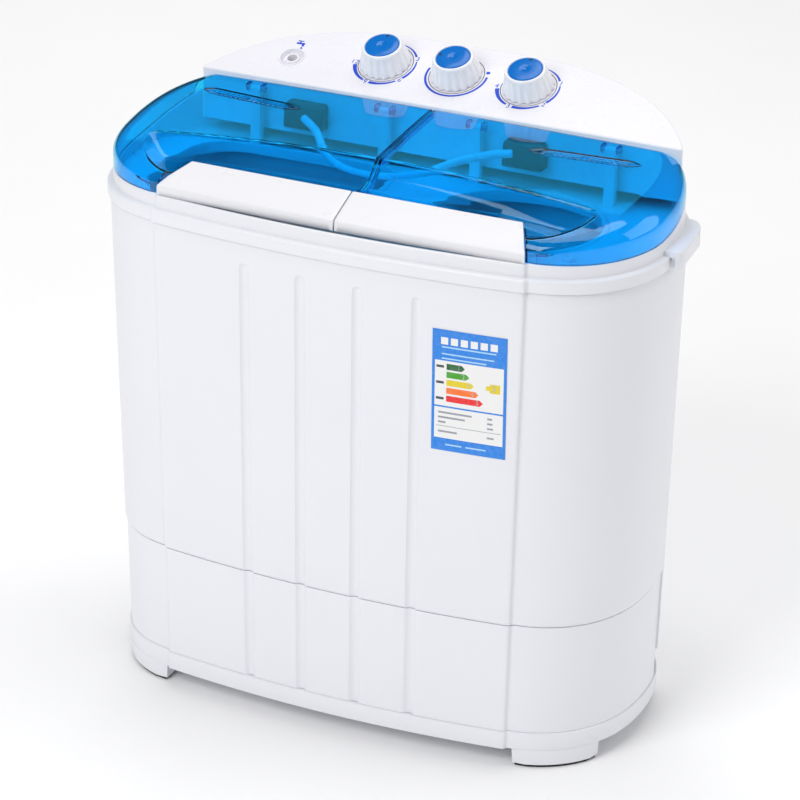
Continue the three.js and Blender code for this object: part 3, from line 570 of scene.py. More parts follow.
BODY_PLASTIC = moulded("white_body_plastic", rgb(233, 234, 239), 0.32, relief=0.008)
PANEL_PLASTIC = moulded("white_panel_plastic", rgb(233, 232, 239), 0.28, relief=0.008)
HANDLE_PLASTIC = moulded("white_handle_plastic", rgb(231, 231, 235), 0.3, relief=0.008)
TUB_PLASTIC = moulded("white_tub_plastic", rgb(236, 240, 244), 0.3)
KNOB_PLASTIC = moulded("glossy_knob_plastic", rgb(246, 246, 249), 0.14, 0.04, relief=0.01)
CAP_PLASTIC = moulded("blue_cap_plastic", rgb(0, 108, 196), 0.16, 0.04, relief=0.02)
DARK_PLASTIC = moulded("dark_spout_plastic", rgb(38, 42, 50), 0.42, 0.08)
GREY_PLASTIC = moulded("grey_fitting_plastic", rgb(150, 156, 165), 0.45, 0.08)
FILTER_PLASTIC = moulded("blue_filter_plastic", rgb(40, 130, 200), 0.35, 0.06)
PRINT_BLUE = moulded("blue_dial_print", rgb(10, 70, 205), 0.4, 0.05, 0.1)
# Dark grey for the rings round the knobs' feet: painted shade in the grooves that they turn in.
SEAM_SHADE_GREY = moulded("grey_seam_shade", rgb(70, 74, 84), 0.6, 0.08)
RUBBER = rubbery("black_rubber", rgb(30, 31, 33))
STEEL = metal("brushed_steel", rgb(190, 192, 196), 0.3, (1.0, 1.0, 0.08))
CAST_METAL = metal("cast_alloy", rgb(140, 144, 149), 0.5, relief=0.3)
BASKET_PLASTIC = moulded("spin_basket_plastic", rgb(226, 232, 238), 0.32)
LABEL_FILM = printed_film("printed_label_film")
LID_PLASTIC = clear_moulded("clear_blue_lid", rgb(30, 200, 248), rgb(146, 222, 252), roughness=0.03)
HOSE_PLASTIC = clear_moulded("milky_hose", rgb(240, 245, 250), rgb(225, 236, 246), 0.15, 0.25, 0.03, 1.4)


# ---- Camera, lights and floor ----
def make_camera():
    """A long lens in front of the machine, a little to its right and above it."""
    camera = bpy.data.objects.new("camera", bpy.data.cameras.new("camera"))
    bpy.context.scene.collection.objects.link(camera)
    camera.data.lens = 180.0
    camera.data.sensor_width = 36.0
    camera.data.clip_end = 60.0
    target = Vector((-1.8, -0.9, 307.9)) * MM
    camera.location = Vector((1663.7, -3418.9, 1970.4)) * MM
    camera.rotation_mode = "QUATERNION"
    level = (target - camera.location).to_track_quat("-Z", "Y")
    camera.rotation_quaternion = level @ Quaternion((0.0, 0.0, 1.0), math.radians(0.671))
    bpy.context.scene.camera = camera


def soft_lamp(name, place, size, power, aim=(0.0, 0.0, 0.35)):
    lamp = bpy.data.objects.new(name, bpy.data.lights.new(name, "AREA"))
    bpy.context.scene.collection.objects.link(lamp)
    lamp.data.shape = "RECTANGLE"
    lamp.data.size = size[0]
    lamp.data.size_y = size[1]
    lamp.data.energy = power
    lamp.location = place
    lamp.rotation_mode = "QUATERNION"
    lamp.rotation_quaternion = (Vector(aim) - Vector(place)).to_track_quat("-Z", "Y")
    return lamp


def light_world(tree, seen, lighting, mirrored):
    """A room that is white where the camera sees it, softer as a light, and dim in reflections."""
    path = tree.nodes.new("ShaderNodeLightPath")
    camera_share = tree_math(tree, "MULTIPLY", path.outputs["Is Camera Ray"], seen - lighting)
    mirror_share = tree_math(tree, "MULTIPLY", path.outputs["Is Glossy Ray"], mirrored - lighting)
    strength = tree_math(tree, "ADD", tree_math(tree, "ADD", camera_share, mirror_share), lighting)
    tree.links.new(strength, tree.nodes["Background"].inputs["Strength"])
    tree.nodes["Background"].inputs["Color"].default_value = (1.0, 1.0, 1.0, 1.0)


def make_studio():
    """A pale floor under soft lamps, in an even grey-white room."""
    floor = piece_from("floor", [(-6000, -6000, 0), (6000, -6000, 0), (6000, 6000, 0), (-6000, 6000, 0)],
                       [(0, 1, 2, 3)], turn_out=False)
    floor.data.materials.append(moulded("pale_floor", rgb(251, 251, 252), 0.9, 0.03, 0.005, 0.0))
    world = bpy.data.worlds.new("room")
    bpy.context.scene.world = world
    world.use_nodes = True
    light_world(world.node_tree, seen=1.0, lighting=0.47, mirrored=0.07)
    soft_lamp("key_lamp", (-0.7, -3.0, 2.6), (2.0, 2.0), 62.0)
    soft_lamp("fill_lamp", (3.0, 1.5, 1.5), (2.2, 2.2), 22.0)
    soft_lamp("top_lamp", (0.1, 0.5, 3.2), (2.4, 2.0), 34.0)
    backdrop = soft_lamp("backdrop_lamp", (-1.8, 2.6, 2.6), (2.0, 2.0), 24.0, aim=(-1.8, 2.8, 0.0))
    backdrop.visible_glossy = False
    bpy.context.scene.view_settings.view_transform = "Standard"


make_camera()
make_studio()

# ---- The machine's plan ----
def narrowing(z):
    """How much narrower the body is at a height than at its rim."""
    return DRAFT * min(max((522.0 - z) / 362.0, 0.0), 1.4)


def draft(x, y, z):
    """The body draws in towards the floor."""
    narrow = narrowing(z)
    return (x * (1 - narrow), y * (1 - 0.3 * narrow) if y > 0 else y, z)


def flute_cut(x, z, top=FLUTE_TOP, wide=0.0):
    """How deep the nearest flute is at a place on the front."""
    radius = FLUTE_RADIUS + wide
    half_chord = math.sqrt(radius**2 - (radius - FLUTE_DEPTH) ** 2)
    above = max(z - (top - half_chord), 0.0)
    away = min(abs(x - middle) for middle in FLUTES)
    reach = away**2 + above**2
    return max(math.sqrt(max(radius**2 - reach, 0.0)) - (radius - FLUTE_DEPTH), 0.0)


def front_steps(corner_x):
    """Where the front is measured: close steps in each flute and wide ones between."""
    across = [0.0, 1.4, 2.8, 4.0, 4.9, 5.45, 5.85, 6.6]
    steps = {0.0, 8.0, 16.0, 23.0, 42.0, 52.0, 64.0, 76.0, 86.0, 106.0, 120.0, 136.0, 152.0, 168.0, 182.0,
             194.0}
    for middle in (32.0, 96.0):
        for away in across:
            steps |= {middle - away, middle + away}
    return sorted(s for s in steps if s < corner_x - 4)


def plan_outline(inset, fluted=None):
    """The body's outline before its draft: bowed front, stepped corners, round sides and back."""
    corner_x = FRONT_CORNER_X - inset / 2
    corner_y = FRONT_CORNER_Y + inset
    half_width = RIM_HALF_WIDTH - inset
    front = []
    for x in front_steps(corner_x):
        y = corner_y - FRONT_BOW * (1 - (x / corner_x) ** 2)
        front.append((x, y + (flute_cut(x, *fluted) if fluted else 0.0)))
    step_x = corner_x + 2
    reach = (step_x - SIDE_ARC_X) / (half_width - SIDE_ARC_X)
    start = math.acos(reach ** (CURVE_POWER / 2))
    side = quarter_curve(SIDE_ARC_X, half_width, -(SIDE_ARC_DEPTH - inset), start, 0.0, 30)
    rear = quarter_curve(REAR_ARC_X, half_width, REAR_Y - inset - WIDEST_Y, 0.0, math.pi / 2, 44)
    stepped = softened([front[-1], (corner_x, corner_y), side[0], side[1]], 2.2, 4, closed=False)
    half = front + stepped[1:-1] + side[1:] + rear[1:-1] + [(0.0, rear[-1][1])]
    return half + [(-x, y) for x, y in reversed(half[1:-1])]


def quarter_curve(centre_x, half_width, depth, start, end, steps):
    points = []
    for i in range(steps + 1):
        t = start + (end - start) * i / steps
        x = centre_x + (half_width - centre_x) * max(math.cos(t), 0.0) ** (2 / CURVE_POWER)
        points.append((x, WIDEST_Y + depth * max(math.sin(t), 0.0) ** (2 / CURVE_POWER)))
    return points


def falloff(share):
    """How far out the body's corner curve still is after so much of its length."""
    return (1 - share**CURVE_POWER) ** (1 / CURVE_POWER)


def side_x(y, inset):
    """Half the body's width at a depth, before its draft."""
    if y < WIDEST_Y:
        share = min((WIDEST_Y - y) / (SIDE_ARC_DEPTH - inset), 1.0)
        return SIDE_ARC_X + (RIM_HALF_WIDTH - inset - SIDE_ARC_X) * falloff(share)
    share = min((y - WIDEST_Y) / (REAR_Y - inset - WIDEST_Y), 1.0)
    return REAR_ARC_X + (RIM_HALF_WIDTH - inset - REAR_ARC_X) * falloff(share)


def wall_loop(inset, z, fluted=None):
    """The body's outline at one height, drafted."""
    return [draft(x, y, z) for x, y in plan_outline(inset, fluted)]


SHOULDER_START = -60.0


def shoulder_line(y):
    """The height where the lids' outer edges meet the rim: level at the front, climbing to the hood."""
    return RIM_TOP + 0.0018 * max(y - SHOULDER_START, 0.0) ** 2


# ---- Outer shells ----
def make_upper_casing():
    """The tall casing, with four round flutes down its front and a chamfer at the waist."""
    low = WAIST + 0.3
    outer = [(SKIRT_INSET + 0.2, low), (SKIRT_INSET - 0.6, low + 0.5), (CASING_INSET + 0.3, low + 3.0),
             (CASING_INSET, low + 4.5)]
    outer += [(CASING_INSET, z) for z in (200, 260, 320, 380, 440, 480, 495.2, 496.6, 498.0, 499.2, 500.1)]
    outer += [(CASING_INSET, z) for z in (500.8, 501.3, 506.0, CASING_TOP - 1.0)]
    outer += [(CASING_INSET + 0.5, CASING_TOP - 0.2), (CASING_INSET + WALL, CASING_TOP - 0.2)]
    inner = [(CASING_INSET + WALL + 0.6, z) for z in (500.0, 440.0, 320.0, 200.0, low + 4)]
    inner.append((SKIRT_INSET + WALL, low))
    loops = [wall_loop(inset, z, (z,)) for inset, z in outer + inner]
    piece = piece_from("upper_casing_shell", *loft(loops, wrap=True), sharp=38)
    finish_piece(piece, "cabinet", BODY_PLASTIC, ["upper_casing"])


def make_lower_skirt():
    """The skirt under the waist, open at the back where its cover goes."""
    low = TRAY_TOP + 0.3
    levels = [(SKIRT_INSET, z) for z in (low, low + 30, 100.0, 130.0, WAIST - 0.4)]
    levels += [(SKIRT_INSET + WALL, WAIST - 0.4), (SKIRT_INSET + WALL, 100.0), (SKIRT_INSET + WALL, low)]
    count = len(plan_outline(SKIRT_INSET))
    keep = skirt_points(count)
    loops = [[wall_loop(inset, z, (z, FLUTE_TOP, 0.8))[i] for i in keep] for inset, z in levels]
    points, faces = loft(loops, wrap=True, closed=False)
    ends = [tuple(j * len(keep) for j in range(len(levels))),
            tuple(j * len(keep) + len(keep) - 1 for j in reversed(range(len(levels))))]
    piece = piece_from("lower_skirt_shell", points, faces + ends, sharp=38)
    finish_piece(piece, "cabinet", BODY_PLASTIC, ["lower_skirt"])


def skirt_points(count):
    """The outline's points from the left end of the skirt round the front to its right end."""
    outline = plan_outline(SKIRT_INSET)
    front = [i for i in range(count) if outline[i][1] <= 36.0]
    first = next(i for i in front if i > count // 2)
    return [i for i in range(first, count)] + [i for i in front if i < count // 2]


def make_rear_cover():
    """The cover round the back of the skirt; its louvres and screws are made in make_rear_details."""
    low, high = COVER_FOOT + 0.3, WAIST - 0.5
    outline = plan_outline(CASING_INSET)
    keep = [i for i in range(len(outline)) if outline[i][1] > 25.6]
    levels = [(CASING_INSET + 0.8, low), (CASING_INSET, low + 1.0), (CASING_INSET, 110.0),
              (CASING_INSET, high - 1.0), (CASING_INSET + 0.8, high), (CASING_INSET + WALL, high),
              (CASING_INSET + WALL, 110.0), (CASING_INSET + WALL, low)]
    loops = [[wall_loop(inset, z)[i] for i in keep] for inset, z in levels]
    points, faces = loft(loops, wrap=True, closed=False)
    ends = [tuple(j * len(keep) for j in range(len(levels))),
            tuple(j * len(keep) + len(keep) - 1 for j in reversed(range(len(levels))))]
    piece = piece_from("rear_cover_shell", points, faces + ends, sharp=38)
    finish_piece(piece, "cabinet", BODY_PLASTIC, ["rear_cover"])


def back_surface(x, z, inset=CASING_INSET):
    """The point of the body's back wall at a place across and a height."""
    full_x = abs(x) / (1 - narrowing(z))
    share = max((full_x - REAR_ARC_X) / (RIM_HALF_WIDTH - inset - REAR_ARC_X), 0.0)
    y = WIDEST_Y + (REAR_Y - inset - WIDEST_Y) * falloff(share)
    return draft(x, y, z)[1]


def make_rear_details():
    """Louvres and screws on the back of the machine."""
    pitch, height = 14.0, 112.0
    across = [-112.0 + pitch * i for i in range(9)]
    places = [((x, back_surface(x, height) - 0.6, height), (0, 0, math.pi)) for x in across]
    slat = softened([(-4.4, -23.0), (4.4, -23.0), (4.4, 23.0), (-4.4, 23.0)], 4.0, 5)
    inner = [(x * 0.62, z * 0.9) for x, z in slat]
    loops = [[(x, 0.5, z) for x, z in slat], [(x, -1.4, z) for x, z in slat],
             [(x * 0.9, -2.2, z * 0.975) for x, z in slat], [(x, -2.0, z) for x, z in inner],
             [(x, 0.1, z) for x, z in inner]]
    hoods = copies_at("rear_vent_hoods", *loft(loops, wrap=True), places, BODY_PLASTIC)
    finish_piece(hoods, "cabinet", BODY_PLASTIC)
    # Dark plugs in the louvres' openings: painted shade for the dark inside behind the slots.
    dark = [[(x, 0.3, z) for x, z in inner], [(x, -0.9, z) for x, z in inner]]
    slots = copies_at("rear_vent_slots", *loft(dark, cap_first=True, cap_last=True), places, DARK_PLASTIC)
    finish_piece(slots, "cabinet", DARK_PLASTIC)
    heads = []
    for x in (-232.0, -150.0, 0.0, 60.0, 168.0, 232.0):
        for z in (78.0, 150.0):
            if x in (0.0, 60.0) and z > 100:
                continue
            lean = math.atan2(back_surface(x + 2, z) - back_surface(x - 2, z), 4.0)
            heads.append(((x, back_surface(x, z) - 0.2, z), (-math.pi / 2, 0.0, lean)))
    screws = copies_at("rear_cover_screws", *screw_head(4.2, 2.0), heads, STEEL)
    finish_piece(screws, "cabinet", STEEL)


def screw_head(radius, height):
    """A pan head with a cross recess, its face upwards."""
    origin = Vector((0, 0, 0))
    slot = 0.16 * radius

    outline = [(0.0, 0.0), (radius, 0.0), (radius, height * 0.5), (radius * 0.75, height * 0.92),
               (radius * 0.5, height)]
    head = turned(outline + [(0.0, height)], origin, 20, closed=False, radius=0.35)
    arms = []
    for turn in (0.0, math.pi / 2):
        c, s = math.cos(turn), math.sin(turn)
        flat = [(-radius * 0.55, -slot), (radius * 0.55, -slot), (radius * 0.55, slot),
                (-radius * 0.55, slot)]
        lower = [(x * c - y * s, x * s + y * c, height - 0.3) for x, y in flat]
        upper = [(x, y, height + 0.06) for x, y, _ in lower]
        arms.append(loft([lower, upper], cap_first=True, cap_last=True))
    return shell([head] + arms)


def make_plinth():
    """The base tray: a low plinth round the foot, a floor inside it, and four legs."""
    outer = [(CASING_INSET + 2.2, TRAY_BOTTOM), (CASING_INSET + 0.6, TRAY_BOTTOM + 0.6),
             (CASING_INSET, TRAY_BOTTOM + 2.2),
             (CASING_INSET, TRAY_TOP - 2.4), (CASING_INSET + 0.5, TRAY_TOP - 0.8),
             (CASING_INSET + 1.6, TRAY_TOP - 0.1)]
    inner = [(SKIRT_INSET + WALL, TRAY_TOP - 0.1), (SKIRT_INSET + WALL, TRAY_BOTTOM + 4.0)]
    loops = [wall_loop(inset, z) for inset, z in outer + inner]
    walls = loft(loops, cap_first=True, cap_last=True)
    legs = []
    for x0, y0, x1, y1 in foot_boxes():
        foot = foot_outline(x0, y0, x1, y1, CASING_INSET + 0.4, TRAY_BOTTOM)
        lower = foot_outline(x0 + 1, y0 + 1, x1 - 1, y1 - 1, CASING_INSET + 1.4, 3.3)
        legs.append(loft([[(x, y, 3.4) for x, y in lower], [(x, y, TRAY_BOTTOM + 0.5) for x, y in foot]],
                         cap_first=True, cap_last=True))
    piece = piece_from("base_tray_plinth", *shell([walls] + legs), sharp=38)
    finish_piece(piece, "cabinet", BODY_PLASTIC, ["base_tray"])


def foot_boxes():
    """Where the four legs stand, from their pads' boxes."""
    made = []
    for name in ("front_left", "front_right", "rear_left", "rear_right"):
        low, high = corners("foot_pad_" + name)
        made.append((low.x - 3, low.y - 3, high.x + 3, high.y + 3))
    return made


def foot_outline(x0, y0, x1, y1, inset, z, count=28):
    """A leg's outline: its box, cut to the body's plan, as rays from its middle."""
    body = [Vector(draft(x, y, z)[:2]) for x, y in plan_outline(inset)]
    middle = Vector(((x0 + x1) / 2, (y0 + y1) / 2))
    points = []
    for k in range(count):
        angle = 2 * math.pi * k / count
        ray = Vector((math.cos(angle), math.sin(angle)))
        reach = min((x1 - middle.x) / abs(ray.x) if abs(ray.x) > 1e-6 else 1e9,
                    (y1 - middle.y) / abs(ray.y) if abs(ray.y) > 1e-6 else 1e9)
        for a, b in zip(body, body[1:] + body[:1]):
            edge = b - a
            cross = ray.x * edge.y - ray.y * edge.x
            if abs(cross) < 1e-9:
                continue
            t = ((a.x - middle.x) * edge.y - (a.y - middle.y) * edge.x) / cross
            u = ((a.x - middle.x) * ray.y - (a.y - middle.y) * ray.x) / cross
            if t > 0 and 0 <= u <= 1:
                reach = min(reach, t)
        points.append(tuple(middle + ray * reach))
    return points


# ---- The top frame ----
def make_rim():
    """The rim that the lids sit on: a wide lower tier and a narrower upper one."""
    low = CASING_TOP + 0.3
    levels = [(1.4, low), (0.3, low + 0.5), (0.0, low + 1.6), (0.0, RIM_STEP - 2.4), (0.4, RIM_STEP - 0.9),
              (1.4, RIM_STEP - 0.1), (UPPER_TIER_INSET - 0.8, RIM_STEP), (UPPER_TIER_INSET, RIM_STEP + 0.7),
              (UPPER_TIER_INSET, RIM_TOP - 0.8), (UPPER_TIER_INSET + 0.6, RIM_TOP),
              (UPPER_TIER_INSET + 3.4, RIM_TOP),
              (UPPER_TIER_INSET + 4.0, RIM_TOP - 0.7), (UPPER_TIER_INSET + 4.0, DECK),
              (UPPER_TIER_INSET + 8.0, DECK - 0.2),
              (UPPER_TIER_INSET + 8.0, DECK - 4.0), (UPPER_TIER_INSET + WALL, DECK - 4.0),
              (UPPER_TIER_INSET + WALL, low)]
    loops = [wall_loop(inset, z) for inset, z in levels]
    piece = piece_from("top_frame_rim", *loft(loops, wrap=True), sharp=40)
    finish_piece(piece, "cabinet", BODY_PLASTIC, ["top_frame"])


def rounded_rectangle(x0, y0, x1, y1, radii, steps=12):
    """A rectangle with its own radius at each corner: front left, front right, rear right, rear left."""
    front_left, front_right, rear_right, rear_left = radii
    middles = [((x0 + front_left, y0 + front_left), front_left, math.pi),
               ((x1 - front_right, y0 + front_right), front_right, 1.5 * math.pi),
               ((x1 - rear_right, y1 - rear_right), rear_right, 0.0),
               ((x0 + rear_left, y1 - rear_left), rear_left, 0.5 * math.pi)]
    points = []
    for (cx, cy), radius, start in middles:
        for k in range(steps + 1):
            angle = start + 0.5 * math.pi * k / steps
            points.append((cx + radius * math.cos(angle), cy + radius * math.sin(angle)))
    return points


def flat_plate(name, outlines, z, thickness, edge=0.5):
    """A plate with holes, from closed outlines, its edges rounded."""
    curve = bpy.data.curves.new(name, "CURVE")
    curve.dimensions = "2D"
    curve.fill_mode = "BOTH"
    curve.extrude = (thickness / 2 - edge) * MM
    curve.bevel_depth = edge * MM
    curve.bevel_resolution = 2
    curve.offset = -edge * MM
    for outline in outlines:
        spline = curve.splines.new("POLY")
        spline.points.add(len(outline) - 1)
        spline.use_cyclic_u = True
        for point, (x, y) in zip(spline.points, outline):
            point.co = (x * MM, y * MM, 0.0, 1.0)
    source = bpy.data.objects.new(name + "_outline", curve)
    bpy.context.scene.collection.objects.link(source)
    bpy.context.view_layer.update()
    graph = bpy.context.evaluated_depsgraph_get()
    mesh = bpy.data.meshes.new_from_object(source.evaluated_get(graph), depsgraph=graph)
    bpy.data.objects.remove(source)
    mesh.transform(Matrix.Translation((0.0, 0.0, (z - thickness / 2) * MM)))
    clean(mesh)
    piece = bpy.data.objects.new(name, mesh)
    bpy.context.scene.collection.objects.link(piece)
    return piece


WASH_MOUTH = (-250.0, -132.0, -22.0, 48.0)
WASH_MOUTH_RADII = (62.0, 40.0, 34.0, 50.0)
SPIN_MOUTH_RADIUS = 86.0


def circle(axis, radius, count=SEGMENTS):
    turns = [2 * math.pi * i / count for i in range(count)]
    return [(axis.x + radius * math.cos(a), axis.y + radius * math.sin(a)) for a in turns]


def mouth_lip(name, at_margin):
    """A rolled lip round a mouth. at_margin gives the mouth's outline grown by so much."""
    section = [(7.0, DECK - 0.2), (6.0, DECK + 1.6), (3.6, DECK + 2.6), (1.0, DECK + 2.0), (0.0, DECK),
               (0.4, DECK - 12.0),
               (2.2, DECK - 12.0), (2.6, DECK - 3.0)]
    loops = [[(x, y, z) for x, y in at_margin(margin)] for margin, z in section]
    piece = piece_from(name, *loft(loops, wrap=True), sharp=50)
    finish_piece(piece, "cabinet", BODY_PLASTIC)


def make_deck():
    """The deck between the rim and the two mouths, with their lips and a small boss."""
    edge = UPPER_TIER_INSET + 3.8
    outline = plan_outline(edge)
    mouth = rounded_rectangle(*grown(WASH_MOUTH, 3.0), [r + 3.0 for r in WASH_MOUTH_RADII])
    plate = flat_plate("top_frame_deck", [outline, mouth, circle(SPIN_AXIS, SPIN_MOUTH_RADIUS + 3.0)], DECK,
                       2.6)
    finish_piece(plate, "cabinet", BODY_PLASTIC)
    mouth_lip("wash_mouth_lip", lambda m: rounded_rectangle(*grown(WASH_MOUTH, m),
                                                            [r + m for r in WASH_MOUTH_RADII]))
    mouth_lip("spin_mouth_lip", lambda m: circle(SPIN_AXIS, SPIN_MOUTH_RADIUS + m))
    at = Vector((226.0, -98.0, 0.0))
    boss = turned([(0.0, DECK - 0.5), (8.0, DECK - 0.5), (7.0, DECK + 3.5), (0.0, DECK + 3.5)], at, 6,
                  closed=False, radius=0.6)
    piece = piece_from("deck_boss", *boss)
    finish_piece(piece, "cabinet", BODY_PLASTIC)


def grown(sides, margin):
    x0, y0, x1, y1 = sides
    return (x0 - margin, y0 - margin, x1 + margin, y1 + margin)


def make_rim_shoulder(side):
    """A strip on the rim that climbs towards the hood, under the lid's rising outer edge."""
    loops = []
    for k in range(45):
        y = SHOULDER_START + (PANEL_FRONT_Y - 0.3 - SHOULDER_START) * k / 44
        outer, inner = side_x(y, UPPER_TIER_INSET), side_x(y, UPPER_TIER_INSET + 4.0)
        top = max(shoulder_line(y), RIM_TOP - 0.6)
        section = softened([(inner, RIM_TOP - 1.0), (outer, RIM_TOP - 1.0), (outer, top), (inner, top)],
                           0.6, 2)
        loops.append([(side * x, y, z) for x, z in section])
    name = "rim_shoulder_" + ("right" if side > 0 else "left")
    piece = piece_from(name, *loft(loops, cap_first=True, cap_last=True), sharp=45)
    finish_piece(piece, "cabinet", BODY_PLASTIC)


def make_side_grip(side):
    """A lifting grip: a thick rounded bar along the rim with finger space under it."""
    reach = corners("top_frame")[1].x - RIM_HALF_WIDTH
    low, high = 523.5, 541.0
    section = softened([(-13.0, low), (-5.0, low), (-2.0, 535.0), (reach - 4.5, 535.0), (reach - 4.5, low),
                        (reach, low), (reach, high), (-13.0, high)], 2.6, 4)
    ends = [(-34.0, 0.0), (-33.5, 0.4), (-31.5, 0.78), (-28.0, 0.97), (-22.0, 1.0), (34.0, 1.0), (44.0, 0.92),
            (51.0, 0.74), (55.5, 0.5), (57.6, 0.22), (58.0, 0.0)]
    loops = []
    for y, share in ends:
        body = side_x(y, 0.0)
        limit = 1.5 + (reach - 1.5) * share
        loops.append([(side * (body + min(x, limit)), y, z) for x, z in section])
    name = "side_grip_" + ("right" if side > 0 else "left")
    piece = piece_from(name, *loft(loops, cap_first=True, cap_last=True), sharp=50)
    finish_piece(piece, "cabinet", BODY_PLASTIC)


def make_hinge_post(x, name):
    """A post on the deck with a round head that holds the hinge pin."""
    profile = [(HINGE_Y - 3.6, DECK - 1.0)]
    for k in range(11):
        turn = math.pi * k / 10
        profile.append((HINGE_Y - 3.6 * math.cos(turn), HINGE_Z + 3.6 * math.sin(turn)))
    profile.append((HINGE_Y + 3.6, DECK - 1.0))
    loops = [[(x + offset, y, z) for y, z in profile] for offset in (-6.0, 6.0)]
    piece = piece_from(name, *loft(loops, cap_first=True, cap_last=True))
    round_edges(piece, 0.6, 2, pick=lambda m: m.z > DECK + 1)
    finish_piece(piece, "cabinet", BODY_PLASTIC)


# ---- Control panel ----
INLET_X = -184.5
INLET_UP_SLOPE = 38.0
INLET_RADIUS = 14.6


def panel_z(y):
    return PANEL_FRONT_Z + (y - PANEL_FRONT_Y) * math.tan(PANEL_TILT)


def make_hood():
    """The hood under the controls: a sloping face over an upright front and a round back."""
    half = [(x, y) for x, y in plan_outline(HOOD_INSET) if x >= 0 and y > PANEL_FRONT_Y + 2]
    front_x = side_x(PANEL_FRONT_Y, HOOD_INSET)
    side = sorted(half, key=lambda p: math.atan2(p[1] - WIDEST_Y, p[0]))
    right = softened([(front_x - 20, PANEL_FRONT_Y), (front_x, PANEL_FRONT_Y), side[1]], 5.0, 5,
                     closed=False)[1:-1]
    ring = right + side[1:]
    outline = ring + [(-x, y) for x, y in reversed(ring) if x > 0.01]
    lower = [(x, y, RIM_TOP + 0.4) for x, y in outline]
    upper = [(x, y, panel_z(y)) for x, y in outline]
    piece = piece_from("control_hood", *loft([lower, upper], cap_last=True), sharp=30)
    round_edges(piece, 3.2, 5, pick=lambda m: m.z > RIM_TOP + 20, angle=50)
    thicken(piece, WALL)
    drill = [(0.0, -30.0), (INLET_RADIUS - 0.6, -30.0), (INLET_RADIUS - 0.6, 20.0), (0.0, 20.0)]
    cutter = piece_from("inlet_cutter", *turned(drill, Vector((0, 0, 0)), 56, closed=False, radius=0.0))
    cutter.data.transform(square_to_panel(INLET_X, INLET_UP_SLOPE))
    cut_away(piece, cutter)
    finish_piece(piece, "cabinet", PANEL_PLASTIC, ["control_panel"])


def cut_away(piece, cutter):
    """Cuts a closed body out of a piece, after the piece's own modifiers."""
    cut = piece.modifiers.new("cut", "BOOLEAN")
    cut.operation = "DIFFERENCE"
    cut.solver = "EXACT"
    cut.object = cutter
    bpy.context.view_layer.update()
    graph = bpy.context.evaluated_depsgraph_get()
    mesh = bpy.data.meshes.new_from_object(piece.evaluated_get(graph), depsgraph=graph)
    piece.modifiers.clear()
    piece.data = mesh
    bpy.data.objects.remove(cutter)
    clean(mesh, turn_out=False, sharp=30)


def square_to_panel(x, up_slope, above=0.0):
    """The matrix that stands a thing square on the sloping panel."""
    y = PANEL_FRONT_Y + up_slope * math.cos(PANEL_TILT)
    z = PANEL_FRONT_Z + up_slope * math.sin(PANEL_TILT)
    place = Matrix.Translation(Vector((x, y, z)) * MM) @ Matrix.Rotation(PANEL_TILT, 4, "X")
    return place @ Matrix.Translation((0.0, 0.0, above * MM))


KNOB_UP_SLOPE = 52.0
KNOBS = {"wash_timer": centre("wash_timer_knob").x, "drain": centre("drain_knob").x,
         "spin_timer": centre("spin_timer_knob").x}
KNOB_BODIES = {"wash_timer": "wash_timer_knob", "drain": "drain_knob", "spin_timer": "spin_timer_knob"}


def make_knob(name, x):
    """A white knob whose skirt flares and is scalloped, with a smooth rim round its cap."""
    profile = [(0.0, 5.0), (22.0, 5.0), (23.5, 0.6), (27.4, 0.6), (27.5, 2.2), (26.6, 5.0), (25.4, 9.0),
               (24.1, 13.0), (23.0, 17.0),
               (22.3, 20.0), (21.9, 21.6), (21.2, 23.6), (20.2, 24.8), (19.4, 25.0), (18.7, 24.5),
               (18.5, 23.4), (0.0, 23.4)]
    points, faces = turned(profile, Vector((0, 0, 0)), 288, closed=False, radius=0.5)
    knob = piece_from(name + "_knob_body", points, faces, sharp=50)
    run_tree(knob, SCALLOPED_SKIRT, {"Scallops": 19, "Depth": 1.9 * MM, "Skirt Top": 22.0 * MM,
                                     "Inner Radius": 21.4 * MM,
                                     "Material": KNOB_PLASTIC})
    clean(knob.data, turn_out=False, sharp=50)
    knob.data.transform(square_to_panel(x, KNOB_UP_SLOPE))
    finish_piece(knob, KNOB_BODIES[name], KNOB_PLASTIC, [name + "_knob"])


def make_knob_cap(name, x, dot_angle):
    """The blue cap: gently domed, dimpled in the middle, with a pointer dot near its edge."""
    profile = [(0.0, 22.6), (17.9, 22.6), (18.2, 23.6), (17.8, 24.6), (16.6, 25.1), (12.0, 25.5),
               (6.0, 25.6), (4.0, 25.3),
               (1.6, 24.5), (0.0, 24.3)]
    cap = piece_from(name + "_cap_face", *turned(profile, Vector((0, 0, 0)), SEGMENTS, closed=False,
                                                 radius=0.8), sharp=50)
    cap.data.transform(square_to_panel(x, KNOB_UP_SLOPE))
    finish_piece(cap, KNOB_BODIES[name], CAP_PLASTIC, [name + "_knob_cap"])
    at = Vector((14.2 * math.cos(dot_angle), 14.2 * math.sin(dot_angle), 0.0))
    bead = [(0.0, 24.8), (1.7, 24.8), (1.7, 25.4), (1.0, 25.7), (0.0, 25.8)]
    dot = piece_from(name + "_pointer_dot", *turned(bead, at, 24, closed=False, radius=0.2))
    dot.data.transform(square_to_panel(x, KNOB_UP_SLOPE))
    finish_piece(dot, KNOB_BODIES[name], DARK_PLASTIC)


def make_knob_seat(name, x):
    """A thin dark grey ring round the knob's foot: painted shade for the groove that the knob turns in."""
    section = [(28.6, -0.4), (28.9, 0.1), (29.6, 0.16), (30.0, -0.4)]
    seat = piece_from(name + "_knob_seat", *turned(section, Vector((0, 0, 0)), SEGMENTS, radius=0.1))
    seat.data.transform(square_to_panel(x, KNOB_UP_SLOPE))
    finish_piece(seat, "cabinet", SEAM_SHADE_GREY)


# ---- Printing on the panel ----
PRINT_HEIGHT = 0.12


